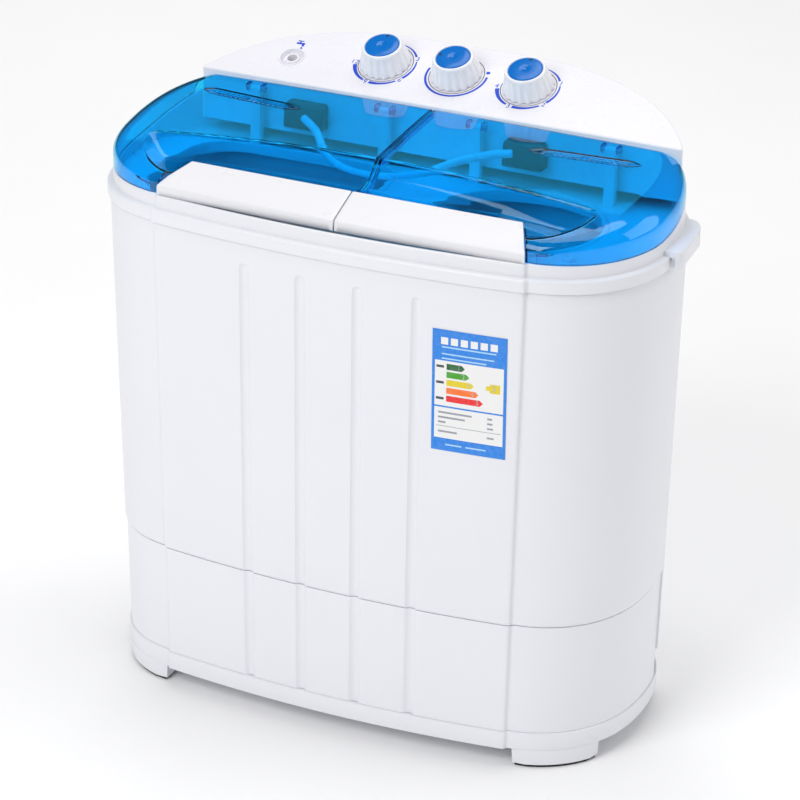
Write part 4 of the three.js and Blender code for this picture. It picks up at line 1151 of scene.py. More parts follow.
def print_flat(outline, height=PRINT_HEIGHT):
    """A flat patch of ink with a hair of thickness."""
    lower = [(x, y, -0.1) for x, y in outline]
    upper = [(x, y, height) for x, y in outline]
    return loft([lower, upper], cap_first=True, cap_last=True)


def arc_strip(radius, start, end, width_start, width_end, steps=18):
    """A printed arc whose width runs from one value to another. Angles in degrees, 0 to the right."""
    outer, inner = [], []
    for k in range(steps + 1):
        t = k / steps
        angle = math.radians(start + (end - start) * t)
        half = (width_start + (width_end - width_start) * t) / 2
        outer.append(((radius + half) * math.cos(angle), (radius + half) * math.sin(angle)))
        inner.append(((radius - half) * math.cos(angle), (radius - half) * math.sin(angle)))
    return print_flat(outer + list(reversed(inner)))


def text_patch(words, size, x, y, height=PRINT_HEIGHT):
    """A number as a thin mesh, its middle at a place on the panel."""
    curve = bpy.data.curves.new("number", "FONT")
    curve.body = words
    curve.size = size * MM
    curve.align_x = "CENTER"
    curve.align_y = "CENTER"
    curve.extrude = height / 2 * MM
    curve.resolution_u = 4
    source = bpy.data.objects.new("number", curve)
    bpy.context.scene.collection.objects.link(source)
    bpy.context.view_layer.update()
    graph = bpy.context.evaluated_depsgraph_get()
    mesh = bpy.data.meshes.new_from_object(source.evaluated_get(graph), depsgraph=graph)
    bpy.data.objects.remove(source)
    points = [(v.co.x / MM + x, v.co.y / MM + y, v.co.z / MM + height / 2) for v in mesh.vertices]
    faces = [tuple(p.vertices) for p in mesh.polygons]
    bpy.data.meshes.remove(mesh)
    return points, faces


def print_piece(name, patches, x, up_slope, material=None):
    piece = piece_from(name, *shell(patches), sharp=20)
    piece.data.transform(square_to_panel(x, up_slope))
    finish_piece(piece, "cabinet", material or PRINT_BLUE)


def timer_print(name, x, digits):
    """A timer's dial: crescents that swell clockwise, broken by its numbers."""
    patches = []
    for k, digit in enumerate(digits):
        angle = 90.0 - 300.0 * (k + 1) / (len(digits) + 0.6)
        before = 90.0 - 300.0 * k / (len(digits) + 0.6)
        patches.append(arc_strip(32.6, before - 7.0, angle + 7.0, 0.9 + 0.5 * k, 2.4 + 0.7 * k))
        turn = math.radians(angle)
        patches.append(text_patch(digit, 8.6, 33.8 * math.cos(turn), 33.4 * math.sin(turn)))
    patches.append(arc_strip(32.6, 90.0 + 24.0, 90.0 + 3.0, 4.0, 1.2))
    patches.append(print_flat([(-2.2, 36.4), (2.2, 36.4), (0.0, 31.2)]))
    print_piece(name + "_dial_print", patches, x, KNOB_UP_SLOPE)


def drain_print(x):
    """The drain selector's dial: one arc from left round the front to the right, with end marks."""
    patches = [arc_strip(32.8, 172.0, 368.0, 2.4, 2.4, 40)]
    for angle in (160.0, 20.0):
        turn = math.radians(angle)
        cx, cy = 33.0 * math.cos(turn), 33.0 * math.sin(turn)
        patches.append(print_flat(circle(Vector((cx, cy)), 2.2, 16)))
    print_piece("drain_dial_print", patches, x, KNOB_UP_SLOPE)


def panel_icons():
    """Small plain marks on the panel: a drop and a tap by the inlet."""
    drop = [(0.0, 4.6)] + [(2.6 * math.cos(a), 2.6 * math.sin(a) - 0.6) for a in
                           (math.radians(20 - 220 * k / 12) for k in range(13))]
    tap = [(-5.0, -1.2), (2.0, -1.2), (2.0, -4.0), (4.6, -4.0), (4.6, 1.4), (-5.0, 1.4)]
    stem = [(-2.2, 1.4), (-0.6, 1.4), (-0.6, 3.4), (2.0, 3.4), (2.0, 4.6), (-4.8, 4.6), (-4.8, 3.4),
            (-2.2, 3.4)]
    up = 22.0
    moved = [[(x, y + up) for x, y in shape] for shape in (tap, stem)]
    falling = [(x * 0.6 + 3.3, y * 0.6 - 7.4 + up) for x, y in drop]
    print_piece("inlet_print", [print_flat(s) for s in moved + [falling]], INLET_X, INLET_UP_SLOPE)


def make_inlet_socket():
    """The water inlet: a round collar let into the panel, with a stub for the hose inside."""
    profile = [(5.4, -26.0), (7.6, -26.0), (7.6, -7.0), (14.4, -7.0), (INLET_RADIUS, 0.3), (13.8, 0.9),
               (12.6, 0.5), (11.2, -5.0),
               (8.0, -5.0), (7.6, -1.2), (5.4, -1.2)]
    socket = piece_from("inlet_socket", *turned(profile, Vector((0, 0, 0)), 56, radius=0.5), sharp=40)
    socket.data.transform(square_to_panel(INLET_X, INLET_UP_SLOPE))
    finish_piece(socket, "cabinet", PANEL_PLASTIC, ["water_inlet_socket"])


def make_controls():
    make_hood()
    for name, x in KNOBS.items():
        make_knob(name, x)
        make_knob_cap(name, x, math.pi if name == "drain" else math.pi / 2)
        make_knob_seat(name, x)
    timer_print("wash_timer", KNOBS["wash_timer"], ["3", "6", "9", "12"])
    timer_print("spin_timer", KNOBS["spin_timer"], ["1", "2", "3", "4"])
    drain_print(KNOBS["drain"])
    panel_icons()
    make_inlet_socket()


# ---- Lids ----
LID_INSET = 6.0
LID_FRONT_Y = -147.2
LID_FOOT = RIM_TOP + 0.4
LID_WALL = 2.5
LID_EDGE_RADIUS = 9.0
LID_REAR_RADIUS = 27.0
HANDLE_REAR_Y = -112.0
SCOOP_REAR_Y = -50.0
VENT_START_Y = 17.0


def smooth_min(a, b, reach):
    h = np.maximum(reach - np.abs(a - b), 0.0) / reach
    return np.minimum(a, b) - h * h * reach / 4


def handle_end(y):
    """Where the handle's slanting end is at a depth."""
    share = min(max((y + 151.0) / 39.0, 0.0), 1.0)
    return HANDLE_END_X * (1 - 0.1 * share) + 0.6


def lid_side(y):
    """The lid's outer edge at a depth."""
    return side_x(y, LID_INSET)


def edge_radius(y):
    """How round the lid's outer edge is: tight at the front, soft towards the hinge."""
    t = np.clip((y + 150.0) / 110.0, 0.0, 1.0)
    return LID_EDGE_RADIUS + (LID_REAR_RADIUS - LID_EDGE_RADIUS) * t * t * (3.0 - 2.0 * t)


def lid_height(x, y):
    """The lid's upper face before its edges are rounded."""
    back = LID_REAR_Y - y
    top = 606.2 - 0.085 * back - 1.6e-4 * back**2 - 3.0 * (x / 285.0) ** 2
    return top - 0.0013 * np.maximum(-60.0 - y, 0.0) ** 2


def lid_scoop(x, y, top):
    """The finger scoop behind the handle: a floor, a sloping rear wall and a round outer end."""
    rear = (-59.0 - 21.0 * (x / 248.0) ** 2) - y
    across = np.maximum(x - 180.0, 0.0) / 68.0
    along = np.minimum(y + 80.0, 0.0) / 62.0
    outer = 65.0 * (1.0 - np.sqrt(across**2 + along**2))
    inside = smooth_min(rear, outer, 8.0)
    wall = top - 0.95 * inside
    floor = 572.0 + 0.353 * np.maximum(y + 92.0, 0.0) - 0.06 * np.maximum(x - 150.0, 0.0)
    bowl = -smooth_min(-wall, -floor, 5.0)
    return smooth_min(top, bowl, 1.6)


def lid_vent(x, y):
    """How deep the vent panel and its slots are pressed into the lid."""
    along = np.minimum(x - 131.0, 246.0 - x)
    off = np.abs(y - (VENT_START_Y + 0.096 * (x - 131.0)))
    half = np.clip(along * 0.55, 0.0, 6.0)
    panel = np.clip((half - off) / 1.0, 0.0, 1.0) * 1.1
    slots = np.zeros_like(x)
    for start in (144.0, 193.0):
        for row in (0.0, 3.1):
            inside = np.minimum(np.minimum(x - start, start + 40.0 - x), 0.75 - np.abs(off - row))
            slots = np.maximum(slots, np.clip(inside / 0.6 + 0.5, 0.0, 1.0))
    return panel + 1.1 * slots


def lid_steps():
    """Row depths and column shares of the lid's grid, close together at its edges and vent."""
    edge = [LID_EDGE_RADIUS * (1 - math.cos(math.pi / 2 * k / 8)) for k in range(9)]
    rows_front = [LID_FRONT_Y + e for e in edge[:-1]] + list(np.linspace(LID_FRONT_Y + edge[-1],
                                                                         HANDLE_REAR_Y, 15))
    rows = list(np.linspace(0.0, 1.0, 30)[1:])
    flat = list(np.linspace(SCOOP_REAR_Y, 8.0, 22)) + list(np.arange(8.6, 36.0, 0.55))
    flat += list(np.linspace(37.0, LID_REAR_Y, 18))
    return rows_front, rows, flat


def make_lid(side):
    """A clear lid: a long sloping face with a finger scoop, a vent panel and deep outer walls."""
    rows_front, rows_scoop, rows_flat = lid_steps()
    inner = list(np.linspace(0.0, 1.0, 92))
    outer = list(np.linspace(0.0, 1.0, 62))[1:]
    edge = [1 - math.cos(math.pi / 2 * k / 12) for k in range(12, -1, -1)][1:]
    split = len(inner) - 1
    columns = split + len(outer) + len(edge) + 1
    index, points = {}, []

    def row_points(row, ys, middle, first):
        for i in range(first, columns):
            y = ys(i)
            end = lid_side(y)
            room = min(float(edge_radius(y)), 0.8 * (end - middle))
            if i <= split:
                x = SEAM + (middle - SEAM) * inner[i]
            elif i <= split + len(outer):
                x = middle + (end - room - middle) * outer[i - split - 1]
            else:
                x = end - edge[i - split - len(outer) - 1] * room
            index[(row, i)] = len(points)
            points.append((x, y))

    row = 0
    for y in rows_front:
        row_points(row, lambda i, y=y: y, handle_end(y), split)
        row += 1
    join = row - 1
    middle = handle_end(HANDLE_REAR_Y)

    def across(i):
        return SEAM + (middle - SEAM) * inner[min(i, split)]

    def bowed(i):
        return HANDLE_REAR_Y - 5.4 * (1 - (across(i) / FRONT_CORNER_X) ** 2) * (i < split)

    def scoop_row(i, share):
        start = bowed(i) + 0.5 if i < split else HANDLE_REAR_Y
        return start * (1 - share) + SCOOP_REAR_Y * share

    for i in range(split):
        index[(join, i)] = len(points)
        points.append((across(i), bowed(i) + (0.5 if i < split - 2 else 0.2)))
    for share in rows_scoop:
        row_points(row, lambda i, s=share: scoop_row(i, s), middle, 0)
        row += 1
    for y in rows_flat[1:]:
        row_points(row, lambda i, y=y: y, middle, 0)
        row += 1
    last = row - 1
    flat = np.array(points)
    x, y = flat[:, 0], flat[:, 1]
    top = lid_scoop(x, y, lid_height(x, y)) - lid_vent(x, y)
    top = top - edge_drop(x, y)
    full = [(px, py, pz) for (px, py), pz in zip(points, top)]
    faces = []
    for j in range(last):
        for i in range(columns - 1):
            quad = [(j, i), (j, i + 1), (j + 1, i + 1), (j + 1, i)]
            if all(q in index for q in quad):
                faces.append(tuple(index[q] for q in quad))
    border = [(j, 0) for j in range(last, join, -1)] + [(join, i) for i in range(0, split)]
    border += [(j, split) for j in range(join, -1, -1)] + [(0, i) for i in range(split + 1, columns)]
    border += [(j, columns - 1) for j in range(1, last + 1)]
    chain = [index[b] for b in border]
    hang_walls(full, faces, chain, lambda k: border_foot(border[k], join, split, full[chain[k]]))
    mirrored = [(side * px, py, pz) for px, py, pz in full]
    if side < 0:
        faces = [tuple(reversed(face)) for face in faces]
    name = "spin_lid" if side > 0 else "wash_lid"
    piece = piece_from(name + "_shell", mirrored, faces, turn_out=False, sharp=42)
    thicken(piece, LID_WALL, even=False)
    finish_piece(piece, name, LID_PLASTIC, [name])


def border_foot(where, join, split, point):
    """How far down the lid's wall goes at a point of its border."""
    row, column = where
    short = max(point[2] - 8.0, LID_FOOT)
    if row > join and column == 0:
        return short
    if row == join and column < split:
        share = min(max((column - (split - 10)) / 10.0, 0.0), 1.0)
        return short * (1 - share) + LID_FOOT * share
    return min(shoulder_line(point[1]) + 0.4, point[2] - 0.4)


def hang_walls(points, faces, border, foot, rows=7):
    """Hangs an upright wall from a border that runs with the sheet on its left."""
    chains = []
    for k, start in enumerate(border):
        x, y, z = points[start]
        low = foot(k)
        chain = [start]
        for r in range(1, rows + 1):
            chain.append(len(points))
            points.append((x, y, z + (low - z) * r / rows))
        chains.append(chain)
    for first, second in zip(chains, chains[1:]):
        for r in range(rows):
            faces.append((first[r + 1], second[r + 1], second[r], first[r]))


def edge_drop(x, y):
    """How far the lid's face has rounded down near its front and outer edges."""
    sides = np.array([(lid_side(v), v) for v in np.linspace(LID_FRONT_Y, LID_REAR_Y + 30.0, 200)])
    ends = np.linspace(handle_end(LID_FRONT_Y), lid_side(LID_FRONT_Y), 12)
    front = np.array([(v, LID_FRONT_Y) for v in ends])
    return np.maximum(rounding(distance_to(sides, x, y), edge_radius(y)),
                      rounding(distance_to(front, x, y), LID_EDGE_RADIUS))


def distance_to(line, x, y):
    """How far each point is from a polyline."""
    near = np.full(x.shape, 1e9)
    for (ax, ay), (bx, by) in zip(line, line[1:]):
        dx, dy = bx - ax, by - ay
        length = dx * dx + dy * dy
        t = np.clip(((x - ax) * dx + (y - ay) * dy) / length, 0.0, 1.0)
        near = np.minimum(near, np.hypot(x - ax - t * dx, y - ay - t * dy))
    return near


def rounding(near, radius):
    """How far a quarter round has dropped at a distance from its edge."""
    inside = np.clip(radius - near, 0.0, radius)
    return radius - np.sqrt(np.maximum(radius**2 - inside**2, 0.0))


def handle_profile(x):
    """The handle's section at a place across: front wall, bevel, sloping top and rear wall."""
    middle = 1 - (x / FRONT_CORNER_X) ** 2
    low = RIM_TOP + 0.5
    return [(-151.0 - 8.0 * middle, low), (-151.0 - 7.0 * middle, 560.0 + 1.4 * middle),
            (-139.0 - 0.5 * middle, 567.0 + 2.7 * middle), (-112.0 - 5.4 * middle, 577.0 + 1.9 * middle),
            (-112.0 - 5.4 * middle, low)]


def make_handle(side):
    """The white bar across the front of a lid, bowed forwards, with its outer end on a slant."""
    loops = []
    steps = 44
    for k in range(steps + 1):
        x = SEAM + (HANDLE_END_X - SEAM) * k / steps
        section = softened([(y, z) for y, z in handle_profile(x)], 1.6, 4, closed=False)
        loop = []
        for y, z in section:
            share = min(max((y + 151.0) / 39.0, 0.0), 1.0)
            loop.append((side * x * (1 - 0.1 * share), y, z))
        loops.append(loop)
    name = "spin_lid" if side > 0 else "wash_lid"
    piece = piece_from(name + "_handle_bar", *loft(loops, closed=False, cap_first=True, cap_last=True),
                       sharp=30)
    round_edges(piece, 0.9, 3, angle=60)
    thicken(piece, 2.4)
    finish_piece(piece, name, HANDLE_PLASTIC, [name + "_handle"])


def make_lid_ears(side):
    """The ears under a lid that hang on the hinge pins."""
    parts = []
    for x in HINGE_X:
        for start in (x - 10.4, x + 6.4):
            profile = [(HINGE_Y - 4.0, HINGE_Z + 5.4)]
            profile += [(HINGE_Y - 4.0 * math.cos(math.pi * k / 8), HINGE_Z - 4.0 * math.sin(math.pi * k / 8))
                        for k in range(9)]
            profile.append((HINGE_Y + 4.0, HINGE_Z + 5.6))
            loops = [[(side * (start + w), y, z) for y, z in profile] for w in (0.0, 4.0)]
            parts.append(loft(loops, cap_first=True, cap_last=True))
    name = "spin_lid" if side > 0 else "wash_lid"
    piece = piece_from(name + "_hinge_ears", *shell(parts))
    finish_piece(piece, name, LID_PLASTIC)


# ---- Tubs ----
def make_wash_tub():
    """The agitator tub: a tapering rounded box with a round floor edge."""
    def outline(margin, z):
        sides = grown((-260.0, -146.0, -12.0, 104.0), -margin)
        radii = [max(r - margin, 6.0) for r in (70.0, 45.0, 45.0, 88.0)]
        s = 1 - 0.07 * (TUB_TOP - z) / (TUB_TOP - TUB_FLOOR)
        c = WASH_AXIS
        return [(c.x + (x - c.x) * s, c.y + (y - c.y) * s, z) for x,
                y in rounded_rectangle(*sides, radii, 16)]
    outer = [(12.0, TUB_FLOOR), (4.0, TUB_FLOOR + 2.0), (0.6, TUB_FLOOR + 8.0), (0.0, TUB_FLOOR + 20),
             (0.0, 350.0),
             (0.0, TUB_TOP)]
    inner = [(WALL, TUB_TOP), (WALL, 350.0), (WALL, TUB_FLOOR + 26), (WALL + 2.0, TUB_FLOOR + 16),
             (WALL + 8.0, TUB_FLOOR + 8),
             (WALL + 18.0, TUB_FLOOR + 4.4)]
    loops = [outline(margin, z) for margin, z in outer + inner]
    piece = piece_from("wash_tub_shell", *loft(loops, cap_first=True, cap_last=True), sharp=40)
    finish_piece(piece, "cabinet", TUB_PLASTIC, ["wash_tub"])


def make_pulsator():
    """The agitator disc: a dished rim, a raised hub and four swept fins."""
    z = TUB_FLOOR + 7.0
    at = Vector((WASH_AXIS.x, WASH_AXIS.y, 0.0))

    profile = [(0.0, z), (78.0, z), (84.0, z + 4.0), (83.0, z + 6.0), (72.0, z + 8.0), (50.0, z + 9.5),
               (30.0, z + 13.0),
               (20.0, z + 21.0), (12.0, z + 24.0), (0.0, z + 24.6)]
    dish = turned(profile, at, SEGMENTS, closed=False, radius=2.0)
    fins = []
    for k in range(4):
        loops = []
        for j in range(13):
            r = 16.0 + 58.0 * j / 12
            angle = math.pi / 2 * k + 0.35 * (j / 12) ** 1.5
            lift = 12.0 * math.sin(math.pi * min(1.0, 0.25 + 0.75 * (1 - j / 12))) + 1.0
            base = z + 6.0
            along = Vector((math.cos(angle), math.sin(angle), 0.0))
            cross = Vector((-along.y, along.x, 0.0))
            centre_point = at + along * r
            section = softened([(-6.0, 0.0), (-2.2, lift + 4.0), (2.2, lift + 4.0), (6.0, 0.0)], 1.6, 3)
            loops.append([tuple(centre_point + cross * w + Vector((0, 0, base + h))) for w, h in section])
        fins.append(loft(loops, cap_first=True, cap_last=True))
    piece = piece_from("pulsator_disc", *shell([dish] + fins), sharp=45)
    finish_piece(piece, "agitator", TUB_PLASTIC, ["pulsator"])


def make_lint_filter():
    """The lint filter: a clip-in frame with a fine grid of bars."""
    low, high = corners("lint_filter")
    frame_bars = [box_block(low, (high.x, high.y, low.z + 6)),
                  box_block((low.x, low.y, high.z - 6), tuple(high)),
                  box_block(tuple(low), (low.x + 5, high.y, high.z)),
                  box_block((high.x - 5, low.y, low.z), tuple(high))]
    piece = piece_from("lint_filter_frame", *shell(frame_bars))
    finish_piece(piece, "cabinet", FILTER_PLASTIC, ["lint_filter"])
    bar = box_block((-0.6, -0.6, -(high.z - low.z) / 2 + 5), (0.6, 0.6, (high.z - low.z) / 2 - 5))
    middle = (low + high) / 2
    places = [((low.x + 9 + 4.0 * k, middle.y, middle.z), (0, 0, 0)) for k in range(9)]
    bars = copies_at("lint_filter_bars", *bar, places, FILTER_PLASTIC)
    finish_piece(bars, "cabinet", FILTER_PLASTIC)


def make_spin_tub():
    """The outer drum round the spin basket."""
    radius = 118.0
    profile = [(26.0, TUB_FLOOR), (radius - 6, TUB_FLOOR), (radius, TUB_FLOOR + 6), (radius, TUB_TOP),
               (radius - WALL, TUB_TOP),
               (radius - WALL, TUB_FLOOR + 10), (radius - WALL - 6, TUB_FLOOR + 4), (26.0, TUB_FLOOR + 4)]
    piece = piece_from("spin_tub_drum", *turned(profile, SPIN_AXIS, 96, radius=2.0), sharp=40)
    finish_piece(piece, "cabinet", TUB_PLASTIC, ["spin_tub"])


def basket_cell(radius, width_angle, height, hole, steps=12):
    """One cell of the basket's wall: a curved patch with a round hole through its middle."""
    square = []
    for k in range(steps):
        a = 2 * math.pi * (k + 0.5) / steps
        c, s = math.cos(a), math.sin(a)
        reach = 1 / max(abs(c), abs(s))
        square.append((c * reach * width_angle / 2, s * reach * height / 2))
    corners_at = [(width_angle / 2, height / 2), (-width_angle / 2, height / 2),
                  (-width_angle / 2, -height / 2),
                  (width_angle / 2, -height / 2)]
    ring = sorted(square + corners_at, key=lambda p: math.atan2(p[1] / height, p[0] / width_angle))
    inner = []
    for across, up in ring:
        a = math.atan2(up, across * radius)
        inner.append((hole * math.cos(a) / radius, hole * math.sin(a)))

    def on_wall(across, up, r):
        return (r * math.cos(across), r * math.sin(across), up)

    loops = [[on_wall(a, u, radius) for a, u in ring], [on_wall(a, u, radius) for a, u in inner],
             [on_wall(a, u, radius - 1.8) for a, u in inner], [on_wall(a, u, radius - 1.8) for a, u in ring]]
    return loft(loops)


def make_spin_basket():
    """The spin basket: a drum with rows of drain holes, a dished floor and a hub."""
    radius, low, high = 100.0, corners("spin_basket")[0].z, corners("spin_basket")[1].z
    columns, rows = 36, 13
    pitch = 22.0
    start = low + 20.0
    points, faces = basket_cell(radius, 2 * math.pi / columns, pitch, 2.6)
    wall = ring_of("spin_basket_wall", points, faces, columns, rows, pitch, 0.0, BASKET_PLASTIC, SPIN_AXIS,
                   start + pitch / 2)
    clean(wall.data, turn_out=False, sharp=40)
    finish_piece(wall, "spin_basket", BASKET_PLASTIC, ["spin_basket"])
    top = start + pitch * rows
    upper = [(radius, top), (radius, high - 1.0), (radius - 0.9, high), (radius - 1.8, high - 1.0),
             (radius - 1.8, top)]
    lower = [(radius - 1.8, start), (radius - 1.8, low + 12), (radius - 10, low + 3), (26.0, low + 2.4),
             (19.0, low + 17.0),
             (6.4, low + 18.0), (6.4, low), (radius - 8, low), (radius, low + 9), (radius, start)]
    parts = [turned(upper, SPIN_AXIS, 72, radius=0.4), turned(lower, SPIN_AXIS, 72, radius=2.0)]
    piece = piece_from("spin_basket_rim_and_floor", *shell(parts), sharp=40)
    finish_piece(piece, "spin_basket", BASKET_PLASTIC)


def make_balance_ring():
    """The balance ring inside the basket's mouth."""
    low, high = corners("balance_ring")
    profile = [(87.0, low.z), (97.0, low.z), (97.0, high.z), (87.0, high.z)]
    piece = piece_from("balance_ring_band", *turned(profile, SPIN_AXIS, 72, radius=3.0), sharp=50)
    finish_piece(piece, "spin_basket", TUB_PLASTIC, ["balance_ring"])


# ---- Water and wiring ----
def make_spout(node):
    """A dark spout under the panel's front: a hood with rounded shoulders and a lip."""
    low, high = corners(node)
    section = softened([(low.y, low.z), (low.y, low.z + 9.0), (low.y + 3.0, high.z), (high.y, high.z)], 3.0,
                       4, closed=False)
    loops = []
    for x in (low.x, low.x + 0.8, low.x + 2.6, high.x - 2.6, high.x - 0.8, high.x):
        end = min(x - low.x, high.x - x)
        pull = 2.4 * (1 - min(end / 2.6, 1.0)) ** 2
        loops.append([(x, y + pull * (y < high.y - 1), z - pull * (z > low.z + 4)) for y, z in section])
    points, faces = loft(loops, closed=False)
    sides = []
    count = len(loops[0])
    for base in (0, (len(loops) - 1) * count):
        x = points[base][0]
        foot = len(points)
        points.append((x, high.y, low.z))
        sides.append(tuple(base + i for i in range(count)) + (foot,))
    piece = piece_from(node + "_cover", points, faces + sides, sharp=40)
    thicken(piece, 1.8)
    finish_piece(piece, "cabinet", DARK_PLASTIC, [node])


HOSE_ROUTE = ((-140, 49, 577), (-118, 32, 573), (-91, -1, 567), (-63, -25, 564), (-33, -35, 563),
              (0, -31, 564), (30, -8, 567),
              (52, 24, 572), (80, 43, 577), (97, 49, 579))
HOSE_RADIUS = 4.2


def smooth_route(route, between=8):
    """Points on a smooth curve through a route, as a centripetal Catmull-Rom curve."""
    places = [Vector(p) for p in route]
    places = [places[0] * 2 - places[1]] + places + [places[-1] * 2 - places[-2]]
    made = []
    for p0, p1, p2, p3 in zip(places, places[1:], places[2:], places[3:]):
        t1 = (p1 - p0).length ** 0.5
        t2 = t1 + (p2 - p1).length ** 0.5
        t3 = t2 + (p3 - p2).length ** 0.5
        for k in range(between):
            t = t1 + (t2 - t1) * k / between
            a1 = p0 * ((t1 - t) / t1) + p1 * (t / t1)
            a2 = p1 * ((t2 - t) / (t2 - t1)) + p2 * ((t - t1) / (t2 - t1))
            a3 = p2 * ((t3 - t) / (t3 - t2)) + p3 * ((t - t2) / (t3 - t2))
            b1 = a1 * ((t2 - t) / t2) + a2 * (t / t2)
            b2 = a2 * ((t3 - t) / (t3 - t1)) + a3 * ((t - t1) / (t3 - t1))
            made.append(b1 * ((t2 - t) / (t2 - t1)) + b2 * ((t - t1) / (t2 - t1)))
    made.append(places[-2])
    return made


def make_transfer_hose():
    """The clear hose that links the two spouts under the lids."""
    path = smooth_route(HOSE_ROUTE)
    curve = bpy.data.curves.new("transfer_hose_tube", "CURVE")
    curve.dimensions = "3D"
    curve.bevel_depth = HOSE_RADIUS * MM
    curve.bevel_resolution = 5
    curve.use_fill_caps = True
    spline = curve.splines.new("POLY")
    spline.points.add(len(path) - 1)
    for point, place in zip(spline.points, path):
        point.co = (*(place * MM), 1.0)
    hose = bpy.data.objects.new("transfer_hose_tube", curve)
    bpy.context.scene.collection.objects.link(hose)
    finish_piece(hose, "cabinet", HOSE_PLASTIC, ["transfer_hose"])


make_transfer_hose()


def make_drain_spigot():
    """The ribbed spigot that the drain hose pushes onto."""
    low, high = corners("drain_spigot")
    middle = (low + high) / 2
    profile = [(7.0, low.x), (9.0, low.x), (11.4, low.x + 3), (11.4, low.x + 5), (9.6, low.x + 6),
               (11.4, low.x + 11),
               (11.4, low.x + 13), (9.6, low.x + 14), (10.0, high.x), (7.0, high.x)]
    points, faces = turned(profile, Vector((0, 0, 0)), 40, radius=0.4)
    placed = [(z, middle.y + x, middle.z + y) for x, y, z in points]
    piece = piece_from("drain_spigot_stub", placed, faces, sharp=40)
    finish_piece(piece, "cabinet", GREY_PLASTIC, ["drain_spigot"])


def make_cord_gland():
    """The ribbed rubber gland in the rear cover."""
    low, high = corners("cord_gland")
    middle = (low + high) / 2
    profile = [(4.0, low.y), (6.6, low.y), (7.0, high.y - 4.0), (10.0, high.y - 3.2), (10.0, high.y - 1.2),
               (8.4, high.y),
               (4.6, high.y)]
    points, faces = turned(profile, Vector((0, 0, 0)), 36, radius=0.6)
    placed = [(middle.x + x, z, middle.z + y) for x, y, z in points]
    piece = piece_from("cord_gland_bush", placed, faces, sharp=40)
    finish_piece(piece, "cabinet", RUBBER, ["cord_gland"])


def make_foot_pads():
    """Rubber pads under the legs."""
    for name in ("front_left", "front_right", "rear_left", "rear_right"):
        low, high = corners("foot_pad_" + name)
        lower = foot_outline(low.x + 0.6, low.y + 0.6, high.x - 0.6, high.y - 0.6, CASING_INSET + 3.6, 0.0)
        upper = foot_outline(low.x, low.y, high.x, high.y, CASING_INSET + 3.0, 3.0)
        loops = [[(x, y, 0.0) for x, y in lower], [(x, y, 0.8) for x, y in upper],
                 [(x, y, 3.2) for x, y in upper]]
        piece = piece_from("foot_pad_" + name + "_rubber", *loft(loops, cap_first=True, cap_last=True))
        finish_piece(piece, "cabinet", RUBBER, ["foot_pad_" + name])


# ---- Front label ----
INKS = {"blue": rgb(0, 128, 226), "white": rgb(238, 238, 238), "grey": rgb(150, 156, 166),
        "pale": rgb(170, 214, 246),
        "green": rgb(0, 96, 36), "lime": rgb(62, 160, 10), "yellow": rgb(228, 206, 10),
        "orange": rgb(250, 116, 12),
        "red": rgb(236, 14, 14), "dark": rgb(60, 62, 66)}


def label_y(x, z, lift):
    """The casing's front at a place, raised by so much."""
    corner_x = (FRONT_CORNER_X - CASING_INSET / 2) * (1 - narrowing(z))
    return FRONT_CORNER_Y + CASING_INSET - FRONT_BOW * (1 - (x / corner_x) ** 2) - lift


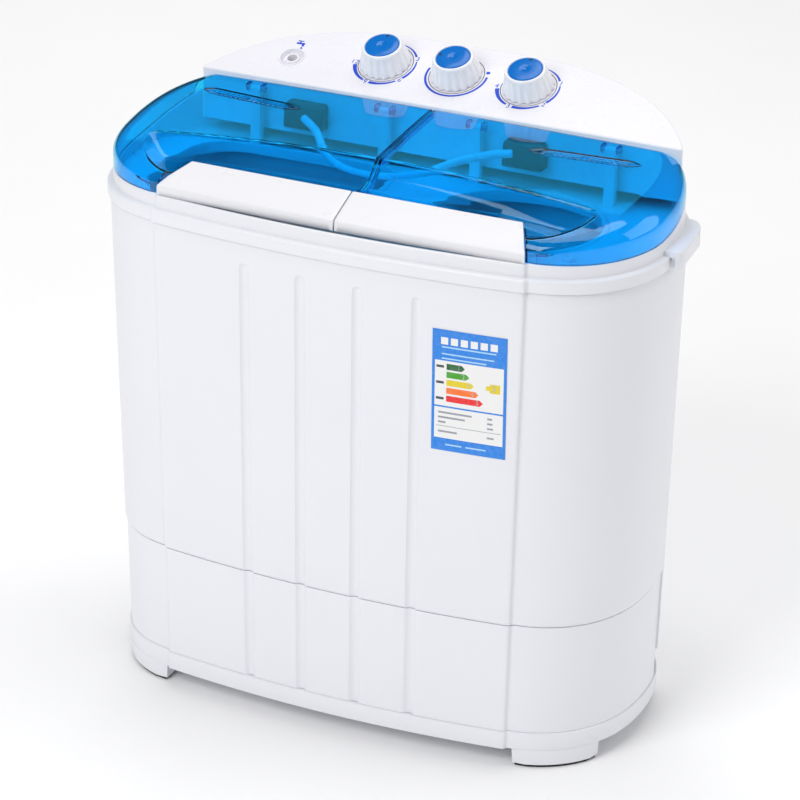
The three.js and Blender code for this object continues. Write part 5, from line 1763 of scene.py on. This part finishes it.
def make_front_label():
    """A rating label with no lettering: a blue frame, white boxes, five graded bars and a tag."""
    low, high = corners("front_label")
    left, right, bottom, top = low.x, high.x, low.z, high.z
    points, faces, inks = [], [], []

    def patch(u0, v0, u1, v1, ink, layer, arrow=0.0, steps=8):
        for k in range(steps):
            a, b = u0 + (u1 - u0) * k / steps, u0 + (u1 - u0) * (k + 1) / steps
            quad = []
            for u, v in ((a, v0), (b, v0), (b, v1), (a, v1)):
                narrow = arrow and u > u1 - arrow
                share = (u1 - u) / arrow if narrow else 1.0
                v = (v0 + v1) / 2 + (v - (v0 + v1) / 2) * share
                x, z = left + u, bottom + v
                quad.append(len(points))
                points.append((x, label_y(x, z, 0.45 + 0.07 * layer), z))
            faces.append(tuple(quad))
            inks.append(ink)

    def digit(words, size, u, v, ink):
        digit_points, digit_faces = text_patch(words, size, u, v, 0.02)
        start = len(points)
        for across, up, _ in digit_points:
            x, z = left + across, bottom + up
            points.append((x, label_y(x, z, 0.45 + 0.07 * 3.4), z))
        for face in digit_faces:
            faces.append(tuple(start + i for i in face))
            inks.append(ink)

    width, height = right - left, top - bottom
    patch(0, 0, width, height, "blue", 0, steps=14)
    patch(3, 13.5, width - 3, 46.5, "white", 1, steps=12)
    patch(3, 48.2, width - 3, 96.3, "white", 1, steps=12)
    for k in range(6):
        patch(9 + 10.2 * k, 113.5, 16.4 + 10.2 * k, 121, "white", 1, steps=1)
    for v, end in ((110, 66), (102.8, 64), (98, 56)):
        patch(10, v, end, v + 1.5, "pale", 1)
    for k, ink in enumerate(("green", "lime", "yellow", "orange", "red")):
        v = 87.0 - 8.5 * k
        patch(15.2, v, 34.0 + 4.8 * k, v + 6.4, ink, 2, arrow=3.0, steps=12)
        digit(str(k + 1), 6.6, 28.0 + 4.8 * k, v + 3.2, "white")
    for v in (88.6, 71.6, 54.6):
        patch(4.5, v, 12.5, v + 2.6, "dark", 2, steps=2)
    patch(60, 69, 70.5, 78.5, "yellow", 2, steps=2)
    patch(56, 71.4, 60, 76.1, "yellow", 2, steps=1)
    digit("3", 9.0, 64.0, 73.7, "white")
    for v, end in ((40, 42), (34.8, 35), (29.6, 15), (19.6, 27)):
        patch(7, v, end, v + 2.0, "grey", 2, steps=4)
        patch(58, v, 67 - 0.1 * v, v + 2.0, "grey", 2, steps=2)
    patch(5, 26.2, width - 5, 26.8, "grey", 2)
    for start, end in ((15, 32), (36, 57)):
        patch(start, 6, end, 7.6, "pale", 1, steps=4)
    mesh = bpy.data.meshes.new("front_label_film")
    mesh.from_pydata([Vector(p) * MM for p in points], [], faces)
    ink_colours = mesh.color_attributes.new("ink", "FLOAT_COLOR", "CORNER")
    for polygon, ink in zip(mesh.polygons, inks):
        for loop in polygon.loop_indices:
            ink_colours.data[loop].color = INKS[ink]
    piece = bpy.data.objects.new("front_label_film", mesh)
    bpy.context.scene.collection.objects.link(piece)
    finish_piece(piece, "cabinet", LABEL_FILM, ["front_label"])


# ---- CAD nodes that keep their shape ----
def paint_carried_nodes():
    """Gives each CAD node that still shows its own finish."""
    finishes = {
        STEEL: ["wash_lid_pin_inner", "wash_lid_pin_outer", "spin_lid_pin_inner", "spin_lid_pin_outer",
                "pulsator_shaft",
                "motor_bracket", "spin_shaft", "spin_motor_spring_1", "spin_motor_spring_2",
                "spin_motor_spring_3",
                "brake_lever"],
        CAST_METAL: ["wash_bearing_housing", "wash_pulley", "wash_motor", "wash_motor_pulley", "brake_drum",
                     "spin_motor"],
        RUBBER: ["drive_belt", "spin_water_seal"],
        DARK_PLASTIC: ["wash_timer", "spin_timer", "brake_post", "drain_plunger", "motor_capacitor"],
        GREY_PLASTIC: ["drain_selector", "drain_valve", "drain_pipe"],
    }
    for material, names in finishes.items():
        for name in names:
            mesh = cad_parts[name].data
            if mesh.materials:
                mesh.materials[0] = material
            else:
                mesh.materials.append(material)


# ---- Assembly ----
make_upper_casing()
make_lower_skirt()
make_rear_cover()
make_rear_details()
make_plinth()
make_foot_pads()
make_rim()
make_deck()
for hand in (1, -1):
    make_side_grip(hand)
    make_rim_shoulder(hand)
    make_lid(hand)
    make_handle(hand)
    make_lid_ears(hand)
    for number, pin_x in enumerate(HINGE_X):
        make_hinge_post(hand * pin_x, "hinge_post_{}_{}".format("right" if hand > 0 else "left", number + 1))
make_controls()
make_wash_tub()
make_pulsator()
make_lint_filter()
make_spin_tub()
make_spin_basket()
make_balance_ring()
make_spout("wash_water_spout")
make_spout("spin_water_spout")
make_drain_spigot()
make_cord_gland()
make_front_label()
paint_carried_nodes()
